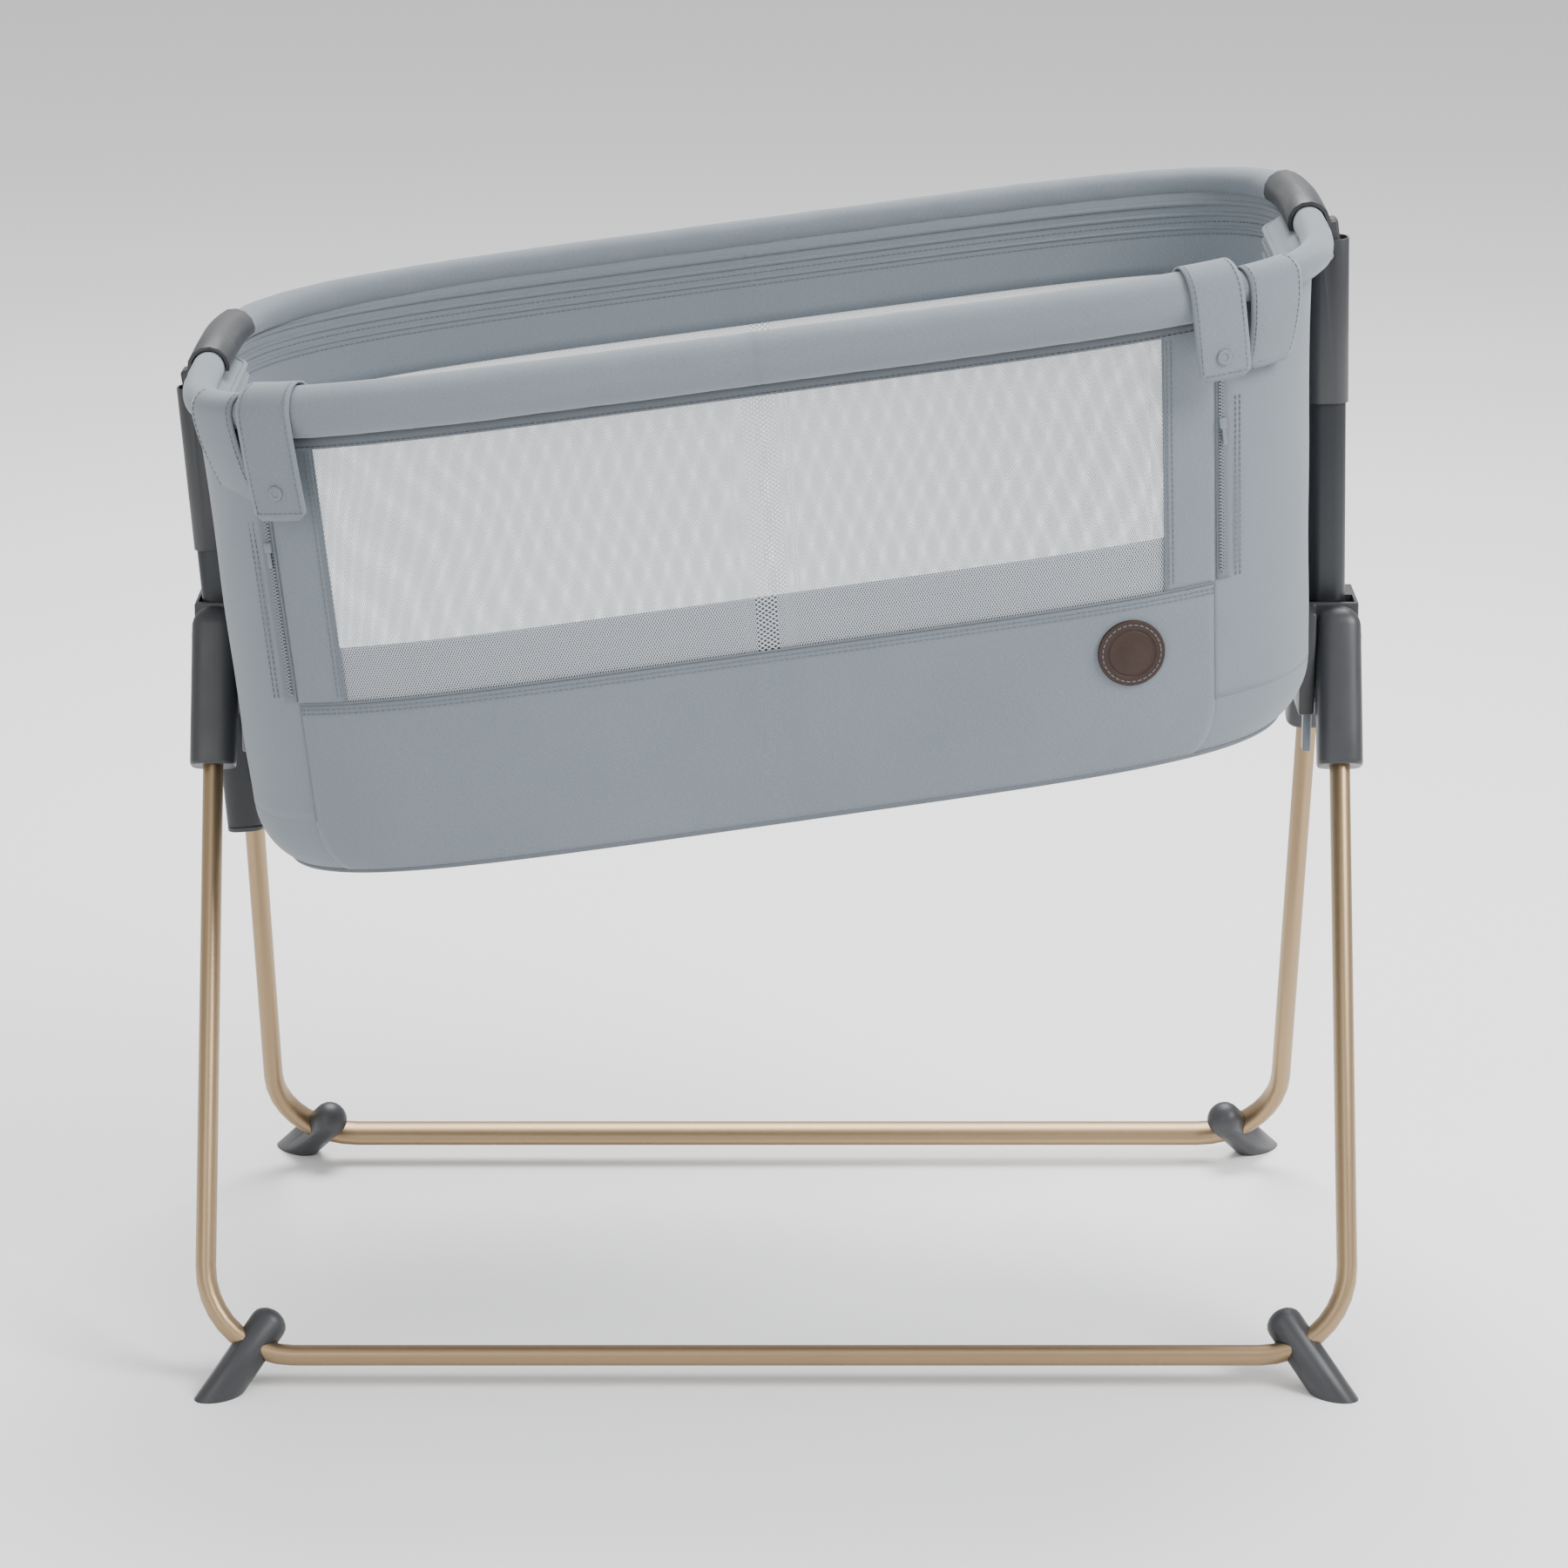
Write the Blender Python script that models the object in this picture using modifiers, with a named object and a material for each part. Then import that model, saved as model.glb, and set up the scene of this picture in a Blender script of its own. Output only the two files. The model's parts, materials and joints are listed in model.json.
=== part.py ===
"""Bassinet on a folding stand.

A soft-sided basket hangs between two telescopic posts. Each post slides in a hub, and two U-shaped leg
frames hinge on the hubs. The right post stands three height steps above the left one, so the basket is
inclined. Metres, +Z up, X along the basket, -Y towards the side that drops. The origin is on the floor.
"""

import math

import bmesh
import bpy
from mathutils import Matrix, Vector

# Stand.
PIVOT_HEIGHT = 0.555
PIVOT_Y = 0.034
LEG_TILT = math.radians(24.0)
LEG_LENGTH = 0.581
FRONT_HALF = 0.450
REAR_HALF = 0.4376
CORNER_RADIUS = 0.070
TUBE_IN_PLANE = 0.0165
TUBE_ACROSS = 0.025
FIT = 0.0004

LEG_SLEEVE_RADIUS = 0.0174
LEG_SLEEVE_HALF = 0.0178
LEG_SLEEVE_LENGTH = 0.112
TUBE_START = 0.021

FOOT_RADIUS = 0.0150
FOOT_CROSSING = math.radians(63.0)
FRONT_FOOT_AXIS = Vector((0.52, 0.55, 0.65)).normalized()
REAR_FOOT_AXIS = Vector((0.46, 0.66, 0.595)).normalized()
FOOT_HEAD = 0.033
FOOT_LENGTH = 0.085

# Hubs.
HUB_INNER = 0.4185
HUB_OUTER = 0.4685
HUB_BOTTOM = 0.487
HUB_TOP = 0.5715
HUB_HALF_DEPTH = 0.0155
HUB_REACH = 0.052
FRONT_FLANGE_END = 0.4315
REAR_FLANGE_START = 0.4565
WINDOW_HALF = 0.0203
WINDOW_HALF_DEPTH = 0.0125
PIN_RADIUS = 0.005
BUTTON_HALF_DEPTH = 0.0085
BUTTON_HALF = 0.013
BUTTON_HEIGHT = 0.532
BUTTON_PROUD = 0.0035
LATCH = {"inner": 0.4240, "outer": 0.4308, "from": -0.034, "to": -0.021, "bottom": 0.452, "top": 0.4862}

# Posts.
GUIDE_X = 0.445
GUIDE_PLAY = -0.0015
POST_WIDTH = 0.030
POST_DEPTH = 0.024
POST_WALL = 0.002
POST_TOP = -0.032
POST_BOTTOM = -0.352
SLEEVE_WIDTH = 0.0338
SLEEVE_DEPTH = 0.0278
SLEEVE_WALL = 0.0016
SLEEVE_TOP = 0.0125
SLEEVE_BOTTOM = -0.120
POST_PIN_RADIUS = 0.004

# Basket. Its own axes are u along the rim, y across and w up from the rim's plane.
HEIGHT_STEP = 0.040
STEPS_APART = 3
RIM_CENTRE = Vector((-0.0155, 0.0, 0.8215))
RIM_HALF_LENGTH = 0.4403
RIM_HALF_WIDTH = 0.2690
RIM_POWER = 4.4
PIVOT_U = 0.4533
PIVOT_W = -0.028
INCLINE = math.asin(HEIGHT_STEP * STEPS_APART / (2 * PIVOT_U))
RIM_TUBE_RADIUS = 0.0090
COVER_SLACK = 0.0008
RIM_COVER_RADIUS = 0.0128
RAIL_TUBE_RADIUS = 0.0085
RAIL_RADIUS = 0.0205
RAIL_LEFT = -0.3935
RAIL_RIGHT = 0.3665
RAIL_GAP = 0.0050
RAIL_CLEAR = 0.0020
RAIL_MARGIN = 0.03
PANEL_LEFT = -0.3765
PANEL_RIGHT = 0.3515
PANEL_GAP = 0.0015
TAB_RADIUS = 0.0232
TAB_HALF = 0.0190
TAB_THICKNESS = 0.0016
TABS = (("left", -0.3715, 0.080), ("right", 0.3440, 0.064))
ZIPS = (("left", -0.3845, -0.3785), ("right", 0.3535, 0.3595))
ZIP_TOP = 0.092
ZIP_BOTTOM = 0.222

BASKET_DEPTH = 0.3665
WALL_TOP = 0.0150
WALL_THICKNESS = 0.0025
WALL_HALF_LENGTH = 0.4411
WALL_HALF_WIDTH = 0.2620
LENGTH_TAPER = 0.0483
WIDTH_TAPER = 0.0740
SWAY_AT_TOP = -0.0045
SWAY_PER_DEPTH = -0.0648
END_CORNER = 0.045
CORNER_ROWS = 5
SIDE_CORNER = 0.008
LOW_END_DROOP = 0.016
DENT_DEPTH = 0.019
DENT_FROM = 0.120
DENT_TO = 0.060
BACK_SPLIT = 0.330
SEAM_GAP = 0.007
DROP_SEAM = 0.228
BACK_MESH_TOP = 0.072
BACK_MESH_BOTTOM = 0.300
MATTRESS_TOP = 0.305
MATTRESS_BOTTOM = 0.350
BOARD_BOTTOM = 0.357
COVER_TOP = 0.3600

BRACKET_RADIUS = 0.0172
BRACKET_BORE = 0.0140
BRACKET_FROM = -0.014
BRACKET_TO = 0.145
BRACKET_SKIRT = -0.0110

PARTS = bpy.data.collections.new("bassinet_on_stand")
CUTTERS = bpy.data.collections.new("cutters")

FINISHES = {
    "plastic": ((0.075, 0.077, 0.080, 1.0), 0.45, 0.0),
    "metal": ((0.46, 0.37, 0.26, 1.0), 0.32, 1.0),
    "dark_metal": ((0.070, 0.072, 0.075, 1.0), 0.38, 0.6),
    "steel": ((0.45, 0.46, 0.47, 1.0), 0.35, 1.0),
    "fabric": ((0.29, 0.32, 0.35, 1.0), 0.90, 0.0),
    "mesh": ((0.62, 0.65, 0.68, 1.0), 0.85, 0.0),
    "foam": ((0.55, 0.58, 0.60, 1.0), 0.95, 0.0),
    "board": ((0.40, 0.34, 0.27, 1.0), 0.80, 0.0),
    "leather": ((0.090, 0.052, 0.038, 1.0), 0.60, 0.0),
}


def clear_scene():
    for obj in list(bpy.data.objects):
        bpy.data.objects.remove(obj, do_unlink=True)
    bpy.context.scene.collection.children.link(PARTS)
    bpy.context.scene.collection.children.link(CUTTERS)


def finish(obj, name, finish_name):
    """Gives a piece its name and a material of its own."""
    colour, roughness, metallic = FINISHES[finish_name]
    material = bpy.data.materials.new(name)
    material.use_nodes = True
    shader = material.node_tree.nodes["Principled BSDF"]
    shader.inputs["Base Color"].default_value = colour
    shader.inputs["Roughness"].default_value = roughness
    shader.inputs["Metallic"].default_value = metallic
    obj.data.materials.clear()
    obj.data.materials.append(material)
    obj.name = name
    obj.data.name = name
    return obj


def place(obj, frame, collection=PARTS):
    collection.objects.link(obj)
    obj.matrix_world = frame
    if collection is CUTTERS:
        obj.hide_render = True
        obj.display_type = "WIRE"
    return obj


def attach(obj, parent):
    """Parents a piece and leaves it where it is."""
    bpy.context.view_layer.update()
    obj.parent = parent
    obj.matrix_parent_inverse = parent.matrix_world.inverted()
    return obj


def empty(name, frame):
    obj = bpy.data.objects.new(name, None)
    obj.empty_display_size = 0.05
    PARTS.objects.link(obj)
    obj.matrix_world = frame
    bpy.context.view_layer.update()
    return obj


def from_bmesh(bm, frame, collection=PARTS, smooth=True):
    mesh = bpy.data.meshes.new("piece")
    bm.to_mesh(mesh)
    bm.free()
    if smooth:
        mesh.shade_smooth()
        mesh.set_sharp_from_angle(angle=math.radians(35))
    return place(bpy.data.objects.new("piece", mesh), frame, collection)


def box(low, high, frame=Matrix.Identity(4), collection=PARTS, round_by=0.0, steps=2):
    """A box between two corners in the frame's own axes, with its edges rounded."""
    low, high = Vector(low), Vector(high)
    bm = bmesh.new()
    bmesh.ops.create_cube(bm, size=1.0)
    for vert in bm.verts:
        vert.co = Vector(a * b for a, b in zip(vert.co, high - low))
    if round_by:
        bmesh.ops.bevel(bm, geom=bm.edges[:], offset=round_by, segments=steps, profile=0.5, affect="EDGES")
    return from_bmesh(bm, frame @ Matrix.Translation((low + high) / 2), collection)


def cylinder(radius, start, end, frame=Matrix.Identity(4), collection=PARTS, sides=20, squash=1.0):
    """A cylinder from start to end. squash scales it along its own y axis, which makes it oval."""
    start, end = Vector(start), Vector(end)
    bm = bmesh.new()
    bmesh.ops.create_cone(bm, cap_ends=True, segments=sides, radius1=radius, radius2=radius,
                          depth=(end - start).length)
    for vert in bm.verts:
        vert.co.y *= squash
    turn = (end - start).to_track_quat("Z", "Y").to_matrix().to_4x4()
    return from_bmesh(bm, frame @ Matrix.Translation((start + end) / 2) @ turn, collection)


def rounded_bar(width, depth, bottom, top, radius, frame, wall=0.0, collection=PARTS):
    """An upright bar with rounded edges. With a wall it is a tube, open at both ends."""
    bm = bmesh.new()
    bmesh.ops.create_cube(bm, size=1.0)
    for vert in bm.verts:
        vert.co = Vector((vert.co.x * width, vert.co.y * depth, bottom if vert.co.z < 0 else top))
    upright = [e for e in bm.edges if abs(e.verts[0].co.z - e.verts[1].co.z) > 1e-4]
    bmesh.ops.bevel(bm, geom=upright, offset=radius, segments=5, profile=0.5, affect="EDGES")
    if wall:
        ends = [f for f in bm.faces if abs(f.normal.z) > 0.9]
        bmesh.ops.delete(bm, geom=ends, context="FACES_ONLY")
    obj = from_bmesh(bm, frame, collection)
    if wall:
        thicken(obj, wall)
    return obj


def thicken(obj, wall, offset=-1.0):
    solid = obj.modifiers.new("wall", "SOLIDIFY")
    solid.thickness = wall
    solid.offset = offset
    return obj


def soften(obj, width, steps=2):
    bevel = obj.modifiers.new("rounded edges", "BEVEL")
    bevel.width = width
    bevel.segments = steps
    bevel.limit_method = "ANGLE"
    bevel.angle_limit = math.radians(40)
    return obj


def combine(obj, other, operation):
    boolean = obj.modifiers.new(operation.lower(), "BOOLEAN")
    boolean.operation = operation
    boolean.object = other
    return obj


def new_curve(points, cyclic, flat):
    data = bpy.data.curves.new("path", "CURVE")
    data.dimensions = "2D" if flat else "3D"
    spline = data.splines.new("POLY")
    spline.points.add(len(points) - 1)
    for target, point in zip(spline.points, points):
        target.co = (point[0], point[1], point[2] if len(point) > 2 else 0.0, 1.0)
    spline.use_cyclic_u = cyclic
    return data


def to_mesh(obj, collection=PARTS):
    """Turns a curve object into a mesh object in the same place."""
    bpy.context.view_layer.update()
    mesh = bpy.data.meshes.new_from_object(obj.evaluated_get(bpy.context.evaluated_depsgraph_get()))
    bm = bmesh.new()
    bm.from_mesh(mesh)
    bmesh.ops.remove_doubles(bm, verts=bm.verts[:], dist=1e-6)
    bmesh.ops.recalc_face_normals(bm, faces=bm.faces[:])
    bm.to_mesh(mesh)
    bm.free()
    mesh.shade_smooth()
    mesh.set_sharp_from_angle(angle=math.radians(35))
    solid = bpy.data.objects.new("piece", mesh)
    place(solid, obj.matrix_world.copy(), collection)
    data = obj.data
    bpy.data.objects.remove(obj)
    bpy.data.curves.remove(data)
    return solid


def plate(points, half_thickness, frame, collection=PARTS):
    """A flat outline in the frame's xy plane with a thickness."""
    data = new_curve(points, cyclic=True, flat=True)
    data.fill_mode = "BOTH"
    data.extrude = half_thickness
    return to_mesh(place(bpy.data.objects.new("plate", data), frame, collection), collection)


def swept(points, radius, frame, resolution=4, capped=True, collection=PARTS, profile=None):
    """A round or profiled bar along a path, as a mesh."""
    data = new_curve(points, cyclic=False, flat=False)
    data.twist_mode = "Z_UP"
    if profile is None:
        data.bevel_depth = radius
        data.bevel_resolution = resolution
    else:
        data.bevel_mode = "OBJECT"
        data.bevel_object = profile
    data.use_fill_caps = capped
    return to_mesh(place(bpy.data.objects.new("sweep", data), frame, collection), collection)


def oval_profile(half_x, half_y, sides=20):
    angles = [2 * math.pi * i / sides for i in range(sides)]
    points = [(half_x * math.cos(a), half_y * math.sin(a)) for a in angles]
    data = new_curve(points, cyclic=True, flat=True)
    return place(bpy.data.objects.new("oval", data), Matrix.Identity(4), CUTTERS)


# Stand ---------------------------------------------------------------------------------------------


def leg_up(y_sign):
    """Unit vector up along a leg frame. y_sign is -1 for the front frame and +1 for the rear one."""
    return Vector((0.0, -y_sign * math.sin(LEG_TILT), math.cos(LEG_TILT)))


def leg_pivot(y_sign):
    return Vector((0.0, y_sign * PIVOT_Y, PIVOT_HEIGHT))


def basis(x_axis, y_axis, z_axis, origin):
    frame = Matrix((x_axis, y_axis, z_axis)).transposed().to_4x4()
    frame.translation = origin
    return frame


def frame_path(half):
    """The U: down one leg, round two corners and along the floor bar. x is across, y is up the leg."""
    corner_steps = 9
    points = [(-half, -TUBE_START)]
    for side in (-1, 1):
        turn = [math.pi / 2 * i / corner_steps for i in range(corner_steps + 1)]
        bend = [(side * (half - CORNER_RADIUS * (1 - math.cos(a))),
                 -(LEG_LENGTH - CORNER_RADIUS * (1 - math.sin(a)))) for a in turn]
        points += bend if side < 0 else bend[::-1]
    return points + [(half, -TUBE_START)]


def leg_frame(word, y_sign, half, pivot_frame):
    up = leg_up(y_sign)
    across = Vector((1, 0, 0))
    plane = basis(across, up, across.cross(up), leg_pivot(y_sign))
    path = frame_path(half)
    bar = swept(path, 0.0, plane, profile=oval_profile(TUBE_IN_PLANE / 2, TUBE_ACROSS / 2))
    attach(finish(bar, f"{word}_leg_tube", "metal"), pivot_frame)
    clearance = oval_profile(TUBE_IN_PLANE / 2 + FIT, TUBE_ACROSS / 2 + FIT)
    bar_cutter = swept(path, 0.0, plane, profile=clearance, collection=CUTTERS)
    for side, side_word in ((-1, "left"), (1, "right")):
        leg_sleeve(f"{word}_{side_word}_leg_sleeve", y_sign, side, half, pivot_frame)
        foot(f"{word}_{side_word}_foot", y_sign, side, half, bar_cutter, pivot_frame)


def leg_sleeve(name, y_sign, side, half, pivot_frame):
    """The moulded sleeve on the top of a leg, round at the top where it turns on the hub."""
    up = leg_up(y_sign)
    across = Vector((1, 0, 0))
    centre = leg_pivot(y_sign) + Vector((side * half, 0, 0))
    profile = basis(up.cross(across), up, across, centre)
    steps = 14
    arc = [(LEG_SLEEVE_RADIUS * math.cos(math.pi * i / steps), LEG_SLEEVE_RADIUS * math.sin(math.pi * i / steps))
           for i in range(steps + 1)]
    outline = [(LEG_SLEEVE_RADIUS, -LEG_SLEEVE_LENGTH)] + arc + [(-LEG_SLEEVE_RADIUS, -LEG_SLEEVE_LENGTH)]
    sleeve = soften(plate(outline, LEG_SLEEVE_HALF, profile), 0.0075, 3)
    lengthways = basis(across, across.cross(up) * -1, up, centre)
    socket = cylinder(TUBE_IN_PLANE / 2 + FIT, (0, 0, -TUBE_START + FIT), (0, 0, -LEG_SLEEVE_LENGTH - 0.02),
                      lengthways, CUTTERS, sides=20,
                      squash=(TUBE_ACROSS / 2 + FIT) / (TUBE_IN_PLANE / 2 + FIT))
    combine(sleeve, socket, "DIFFERENCE")
    low, high = leg_pin_span(y_sign)
    deep_end = high + 0.0006 if y_sign < 0 else low - 0.0006
    open_end = low - 0.01 if y_sign < 0 else high + 0.01
    bore = cylinder(PIN_RADIUS + FIT, (side * deep_end, y_sign * PIVOT_Y, PIVOT_HEIGHT),
                    (side * open_end, y_sign * PIVOT_Y, PIVOT_HEIGHT), collection=CUTTERS)
    combine(sleeve, bore, "DIFFERENCE")
    attach(finish(sleeve, name, "plastic"), pivot_frame)


def leg_pin_span(y_sign):
    """Where a leg pin starts and ends, as distances from the middle of the stand."""
    if y_sign < 0:
        return HUB_INNER + 0.0005, FRONT_HALF + LEG_SLEEVE_HALF - 0.0035
    return REAR_HALF - LEG_SLEEVE_HALF + 0.0035, HUB_OUTER - 0.0005


def foot(name, y_sign, side, half, bar_cutter, pivot_frame):
    """A slanted round foot that the frame's corner passes through, cut flat where it meets the floor."""
    away = CORNER_RADIUS * (1 - math.cos(FOOT_CROSSING))
    drop = LEG_LENGTH - CORNER_RADIUS * (1 - math.sin(FOOT_CROSSING))
    crossing = leg_pivot(y_sign) - leg_up(y_sign) * drop + Vector((side * (half - away), 0, 0))
    axis = FRONT_FOOT_AXIS if y_sign < 0 else REAR_FOOT_AXIS
    down = Vector((side * axis.x, y_sign * axis.y, -axis.z))
    steps = 5
    dome = [math.pi / 2 * i / steps for i in range(steps + 1)]
    profile = [(FOOT_RADIUS * math.sin(a), 0, FOOT_HEAD - FOOT_RADIUS * 0.8 * (1 - math.cos(a))) for a in dome]
    profile += [(FOOT_RADIUS, 0, -FOOT_LENGTH), (0, 0, -FOOT_LENGTH)]
    bm = bmesh.new()
    verts = [bm.verts.new(point) for point in profile]
    for first, second in zip(verts, verts[1:]):
        bm.edges.new((first, second))
    turn = (-down).to_track_quat("Z", "Y").to_matrix().to_4x4()
    body = from_bmesh(bm, Matrix.Translation(crossing) @ turn)
    screw = body.modifiers.new("turned", "SCREW")
    screw.steps = screw.render_steps = 20
    screw.use_merge_vertices = True
    screw.merge_threshold = 0.00005
    reach = 0.1
    slab = box(crossing + Vector((-reach, -reach, -0.2 - crossing.z)),
               crossing + Vector((reach, reach, -crossing.z)), collection=CUTTERS)
    combine(body, slab, "DIFFERENCE")
    combine(body, bar_cutter, "DIFFERENCE")
    attach(finish(body, name, "plastic"), pivot_frame)


def hub(side, side_word):
    """The casting that guides a post and carries the pins of both legs on that side."""
    outline = [(HUB_INNER, HUB_HALF_DEPTH), (HUB_INNER, -HUB_REACH), (FRONT_FLANGE_END, -HUB_REACH),
               (FRONT_FLANGE_END, -HUB_HALF_DEPTH), (HUB_OUTER, -HUB_HALF_DEPTH), (HUB_OUTER, HUB_REACH),
               (REAR_FLANGE_START, HUB_REACH), (REAR_FLANGE_START, HUB_HALF_DEPTH)]
    middle = (HUB_TOP + HUB_BOTTOM) / 2
    casting = plate([(side * x, y) for x, y in outline], (HUB_TOP - HUB_BOTTOM) / 2,
                    Matrix.Translation((0, 0, middle)))
    soften(casting, 0.0025)
    window = box((side * GUIDE_X - WINDOW_HALF, -WINDOW_HALF_DEPTH, HUB_BOTTOM - 0.02),
                 (side * GUIDE_X + WINDOW_HALF, WINDOW_HALF_DEPTH, HUB_TOP + 0.02), collection=CUTTERS)
    combine(casting, window, "DIFFERENCE")
    button_at = sorted((side * (HUB_OUTER - 0.006), side * (HUB_OUTER + 0.01)))
    pocket = box((button_at[0], -BUTTON_HALF_DEPTH - FIT, BUTTON_HEIGHT - BUTTON_HALF - FIT),
                 (button_at[1], BUTTON_HALF_DEPTH + FIT, BUTTON_HEIGHT + BUTTON_HALF + FIT), collection=CUTTERS)
    combine(casting, pocket, "DIFFERENCE")
    for y_sign, word in ((-1, "front"), (1, "rear")):
        low, high = leg_pin_span(y_sign)
        ends = [Vector((side * x, y_sign * PIVOT_Y, PIVOT_HEIGHT)) for x in (low, high)]
        pin = cylinder(PIN_RADIUS, *ends)
        attach(finish(pin, f"{side_word}_{word}_leg_pin", "steel"), HUB_FRAME)
        reach = Vector((0.02, 0, 0))
        bore = cylinder(PIN_RADIUS + FIT, ends[0] - side * reach, ends[1] + side * reach, collection=CUTTERS)
        combine(casting, bore, "DIFFERENCE")
    attach(finish(casting, f"{side_word}_hub", "plastic"), HUB_FRAME)


def height_button(side, side_word):
    """The push button that frees a post's height lock. It slides in through the hub's outer wall."""
    span = sorted((side * (HUB_OUTER - 0.0045), side * (HUB_OUTER + BUTTON_PROUD)))
    button = box((span[0], -BUTTON_HALF_DEPTH, BUTTON_HEIGHT - BUTTON_HALF),
                 (span[1], BUTTON_HALF_DEPTH, BUTTON_HEIGHT + BUTTON_HALF), round_by=0.0012)
    at = empty(f"{side_word}_button_axis", Matrix.Translation((side * HUB_OUTER, 0, BUTTON_HEIGHT)))
    attach(finish(button, f"{side_word}_height_button", "plastic"), at)


def fold_latch(side, side_word):
    """The strap under the hub that is pulled down to free the legs."""
    span = sorted((side * LATCH["inner"], side * LATCH["outer"]))
    latch = box((span[0], LATCH["from"], LATCH["bottom"]), (span[1], LATCH["to"], LATCH["top"]), round_by=0.0015)
    at = empty(f"{side_word}_latch_axis",
               Matrix.Translation((side * LATCH["inner"], LATCH["from"], LATCH["top"])))
    attach(finish(latch, f"{side_word}_fold_latch", "steel"), at)


# Basket frame and posts ----------------------------------------------------------------------------

BASKET = Matrix.Translation(RIM_CENTRE) @ Matrix.Rotation(-INCLINE, 4, "Y")


def pivot_point(side):
    return BASKET @ Vector((side * PIVOT_U, 0.0, PIVOT_W))


def post(side, side_word):
    """A telescopic post. Its own origin is the bracket pin, and z runs up along the post."""
    pin_at = pivot_point(side)
    lean = math.atan2(pin_at.x - side * GUIDE_X - GUIDE_PLAY, pin_at.z - PIVOT_HEIGHT)
    frame = Matrix.Translation(pin_at) @ Matrix.Rotation(lean, 4, "Y")
    axis = empty(f"{side_word}_post_axis", frame)
    tube = rounded_bar(POST_WIDTH, POST_DEPTH, POST_BOTTOM, POST_TOP, 0.0095, frame, POST_WALL)
    attach(finish(tube, f"{side_word}_post_tube", "dark_metal"), axis)
    sleeve = rounded_bar(SLEEVE_WIDTH, SLEEVE_DEPTH, SLEEVE_BOTTOM, SLEEVE_TOP, 0.0108, frame, SLEEVE_WALL)
    bore = cylinder(POST_PIN_RADIUS + FIT, (0, -0.03, 0), (0, 0.03, 0), frame, CUTTERS)
    combine(sleeve, bore, "DIFFERENCE")
    attach(finish(sleeve, f"{side_word}_post_sleeve", "plastic"), axis)
    cap = rounded_bar(POST_WIDTH, POST_DEPTH, POST_BOTTOM - 0.0043, POST_BOTTOM - 0.0003, 0.0095, frame)
    attach(finish(cap, f"{side_word}_post_end_cap", "plastic"), axis)
    pin = cylinder(POST_PIN_RADIUS, (0, -SLEEVE_DEPTH / 2, 0), (0, SLEEVE_DEPTH / 2, 0), frame)
    attach(finish(pin, f"{side_word}_bracket_pin", "steel"), axis)


def half_length(depth):
    """Half the basket's length at a depth below the rim, with the rounded corner near the bottom."""
    into = max(0.0, (depth - (BASKET_DEPTH - END_CORNER)) / END_CORNER)
    return WALL_HALF_LENGTH - LENGTH_TAPER * depth - END_CORNER * (1 - math.sqrt(max(0.0, 1 - into * into))) * 0.8


def half_width(depth):
    into = max(0.0, (depth - (BASKET_DEPTH - SIDE_CORNER)) / SIDE_CORNER)
    return WALL_HALF_WIDTH - WIDTH_TAPER * depth - SIDE_CORNER * (1 - math.sqrt(max(0.0, 1 - into * into))) * 0.7


def sway(depth):
    """The soft basket hangs a little towards its low end when it is inclined."""
    return SWAY_AT_TOP + SWAY_PER_DEPTH * depth


def dent(y):
    """How far the hubs and posts press the end walls in."""
    t = min(1.0, max(0.0, (DENT_FROM - abs(y)) / (DENT_FROM - DENT_TO)))
    return DENT_DEPTH * t * t * (3 - 2 * t)


def superellipse(angle, a, b):
    c, s = math.cos(angle), math.sin(angle)
    return (a * math.copysign(abs(c) ** (2 / RIM_POWER), c), b * math.copysign(abs(s) ** (2 / RIM_POWER), s))


def angle_at(u, back):
    """The outline's angle where it passes u on the front or back side of the rim."""
    c = math.copysign((abs(u) / RIM_HALF_LENGTH) ** (RIM_POWER / 2), u)
    angle = math.acos(c)
    return angle if back else -angle


def spaced_angles(start, end, count):
    """Angles from start to end at even steps along the rim."""
    fine = 600
    angles = [start + (end - start) * i / fine for i in range(fine + 1)]
    points = [Vector(superellipse(a, RIM_HALF_LENGTH, RIM_HALF_WIDTH)) for a in angles]
    travelled = [0.0]
    for first, second in zip(points, points[1:]):
        travelled.append(travelled[-1] + (second - first).length)
    chosen, index = [], 0
    for step in range(count + 1):
        goal = travelled[-1] * step / count
        while index < fine - 1 and travelled[index + 1] < goal:
            index += 1
        share = (goal - travelled[index]) / max(1e-12, travelled[index + 1] - travelled[index])
        chosen.append(angles[index] + (angles[index + 1] - angles[index]) * min(1.0, share))
    return chosen


def wall_point(angle, depth, inset=0.0):
    u, y = superellipse(angle, half_length(depth) - inset, half_width(depth) - inset)
    if abs(u) > half_length(depth) * 0.9:
        u -= math.copysign(dent(y), u)
    return Vector((u + sway(depth), y, drooped(u, depth)))


def drooped(u, depth):
    """Height at a depth below the rim. The basket is a little deeper towards its low end."""
    return -depth * (1 + LOW_END_DROOP * (1 - u / RIM_HALF_LENGTH))


def rim_points(start, end, count):
    return [superellipse(a, RIM_HALF_LENGTH, RIM_HALF_WIDTH) for a in spaced_angles(start, end, count)]


def wall_depths(top, bottom, rows):
    """Even rows down to the rounded bottom corner, then rows at even angles round it."""
    corner_top = BASKET_DEPTH - END_CORNER
    if bottom <= corner_top:
        return [top + (bottom - top) * i / rows for i in range(rows + 1)]
    straight = [top + (corner_top - top) * i / rows for i in range(rows)]
    last = math.asin(min(1.0, (bottom - corner_top) / END_CORNER))
    return straight + [corner_top + END_CORNER * math.sin(last * i / CORNER_ROWS) for i in range(CORNER_ROWS + 1)]


def clear_top(angle):
    """The least depth of a wall's top edge. Below the front rail it leaves room for the rail."""
    angle = (angle + math.pi) % FULL_TURN - math.pi
    return RAIL_RADIUS + RAIL_CLEAR if RAIL_START - RAIL_MARGIN < angle < RAIL_END + RAIL_MARGIN else WALL_TOP


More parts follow.
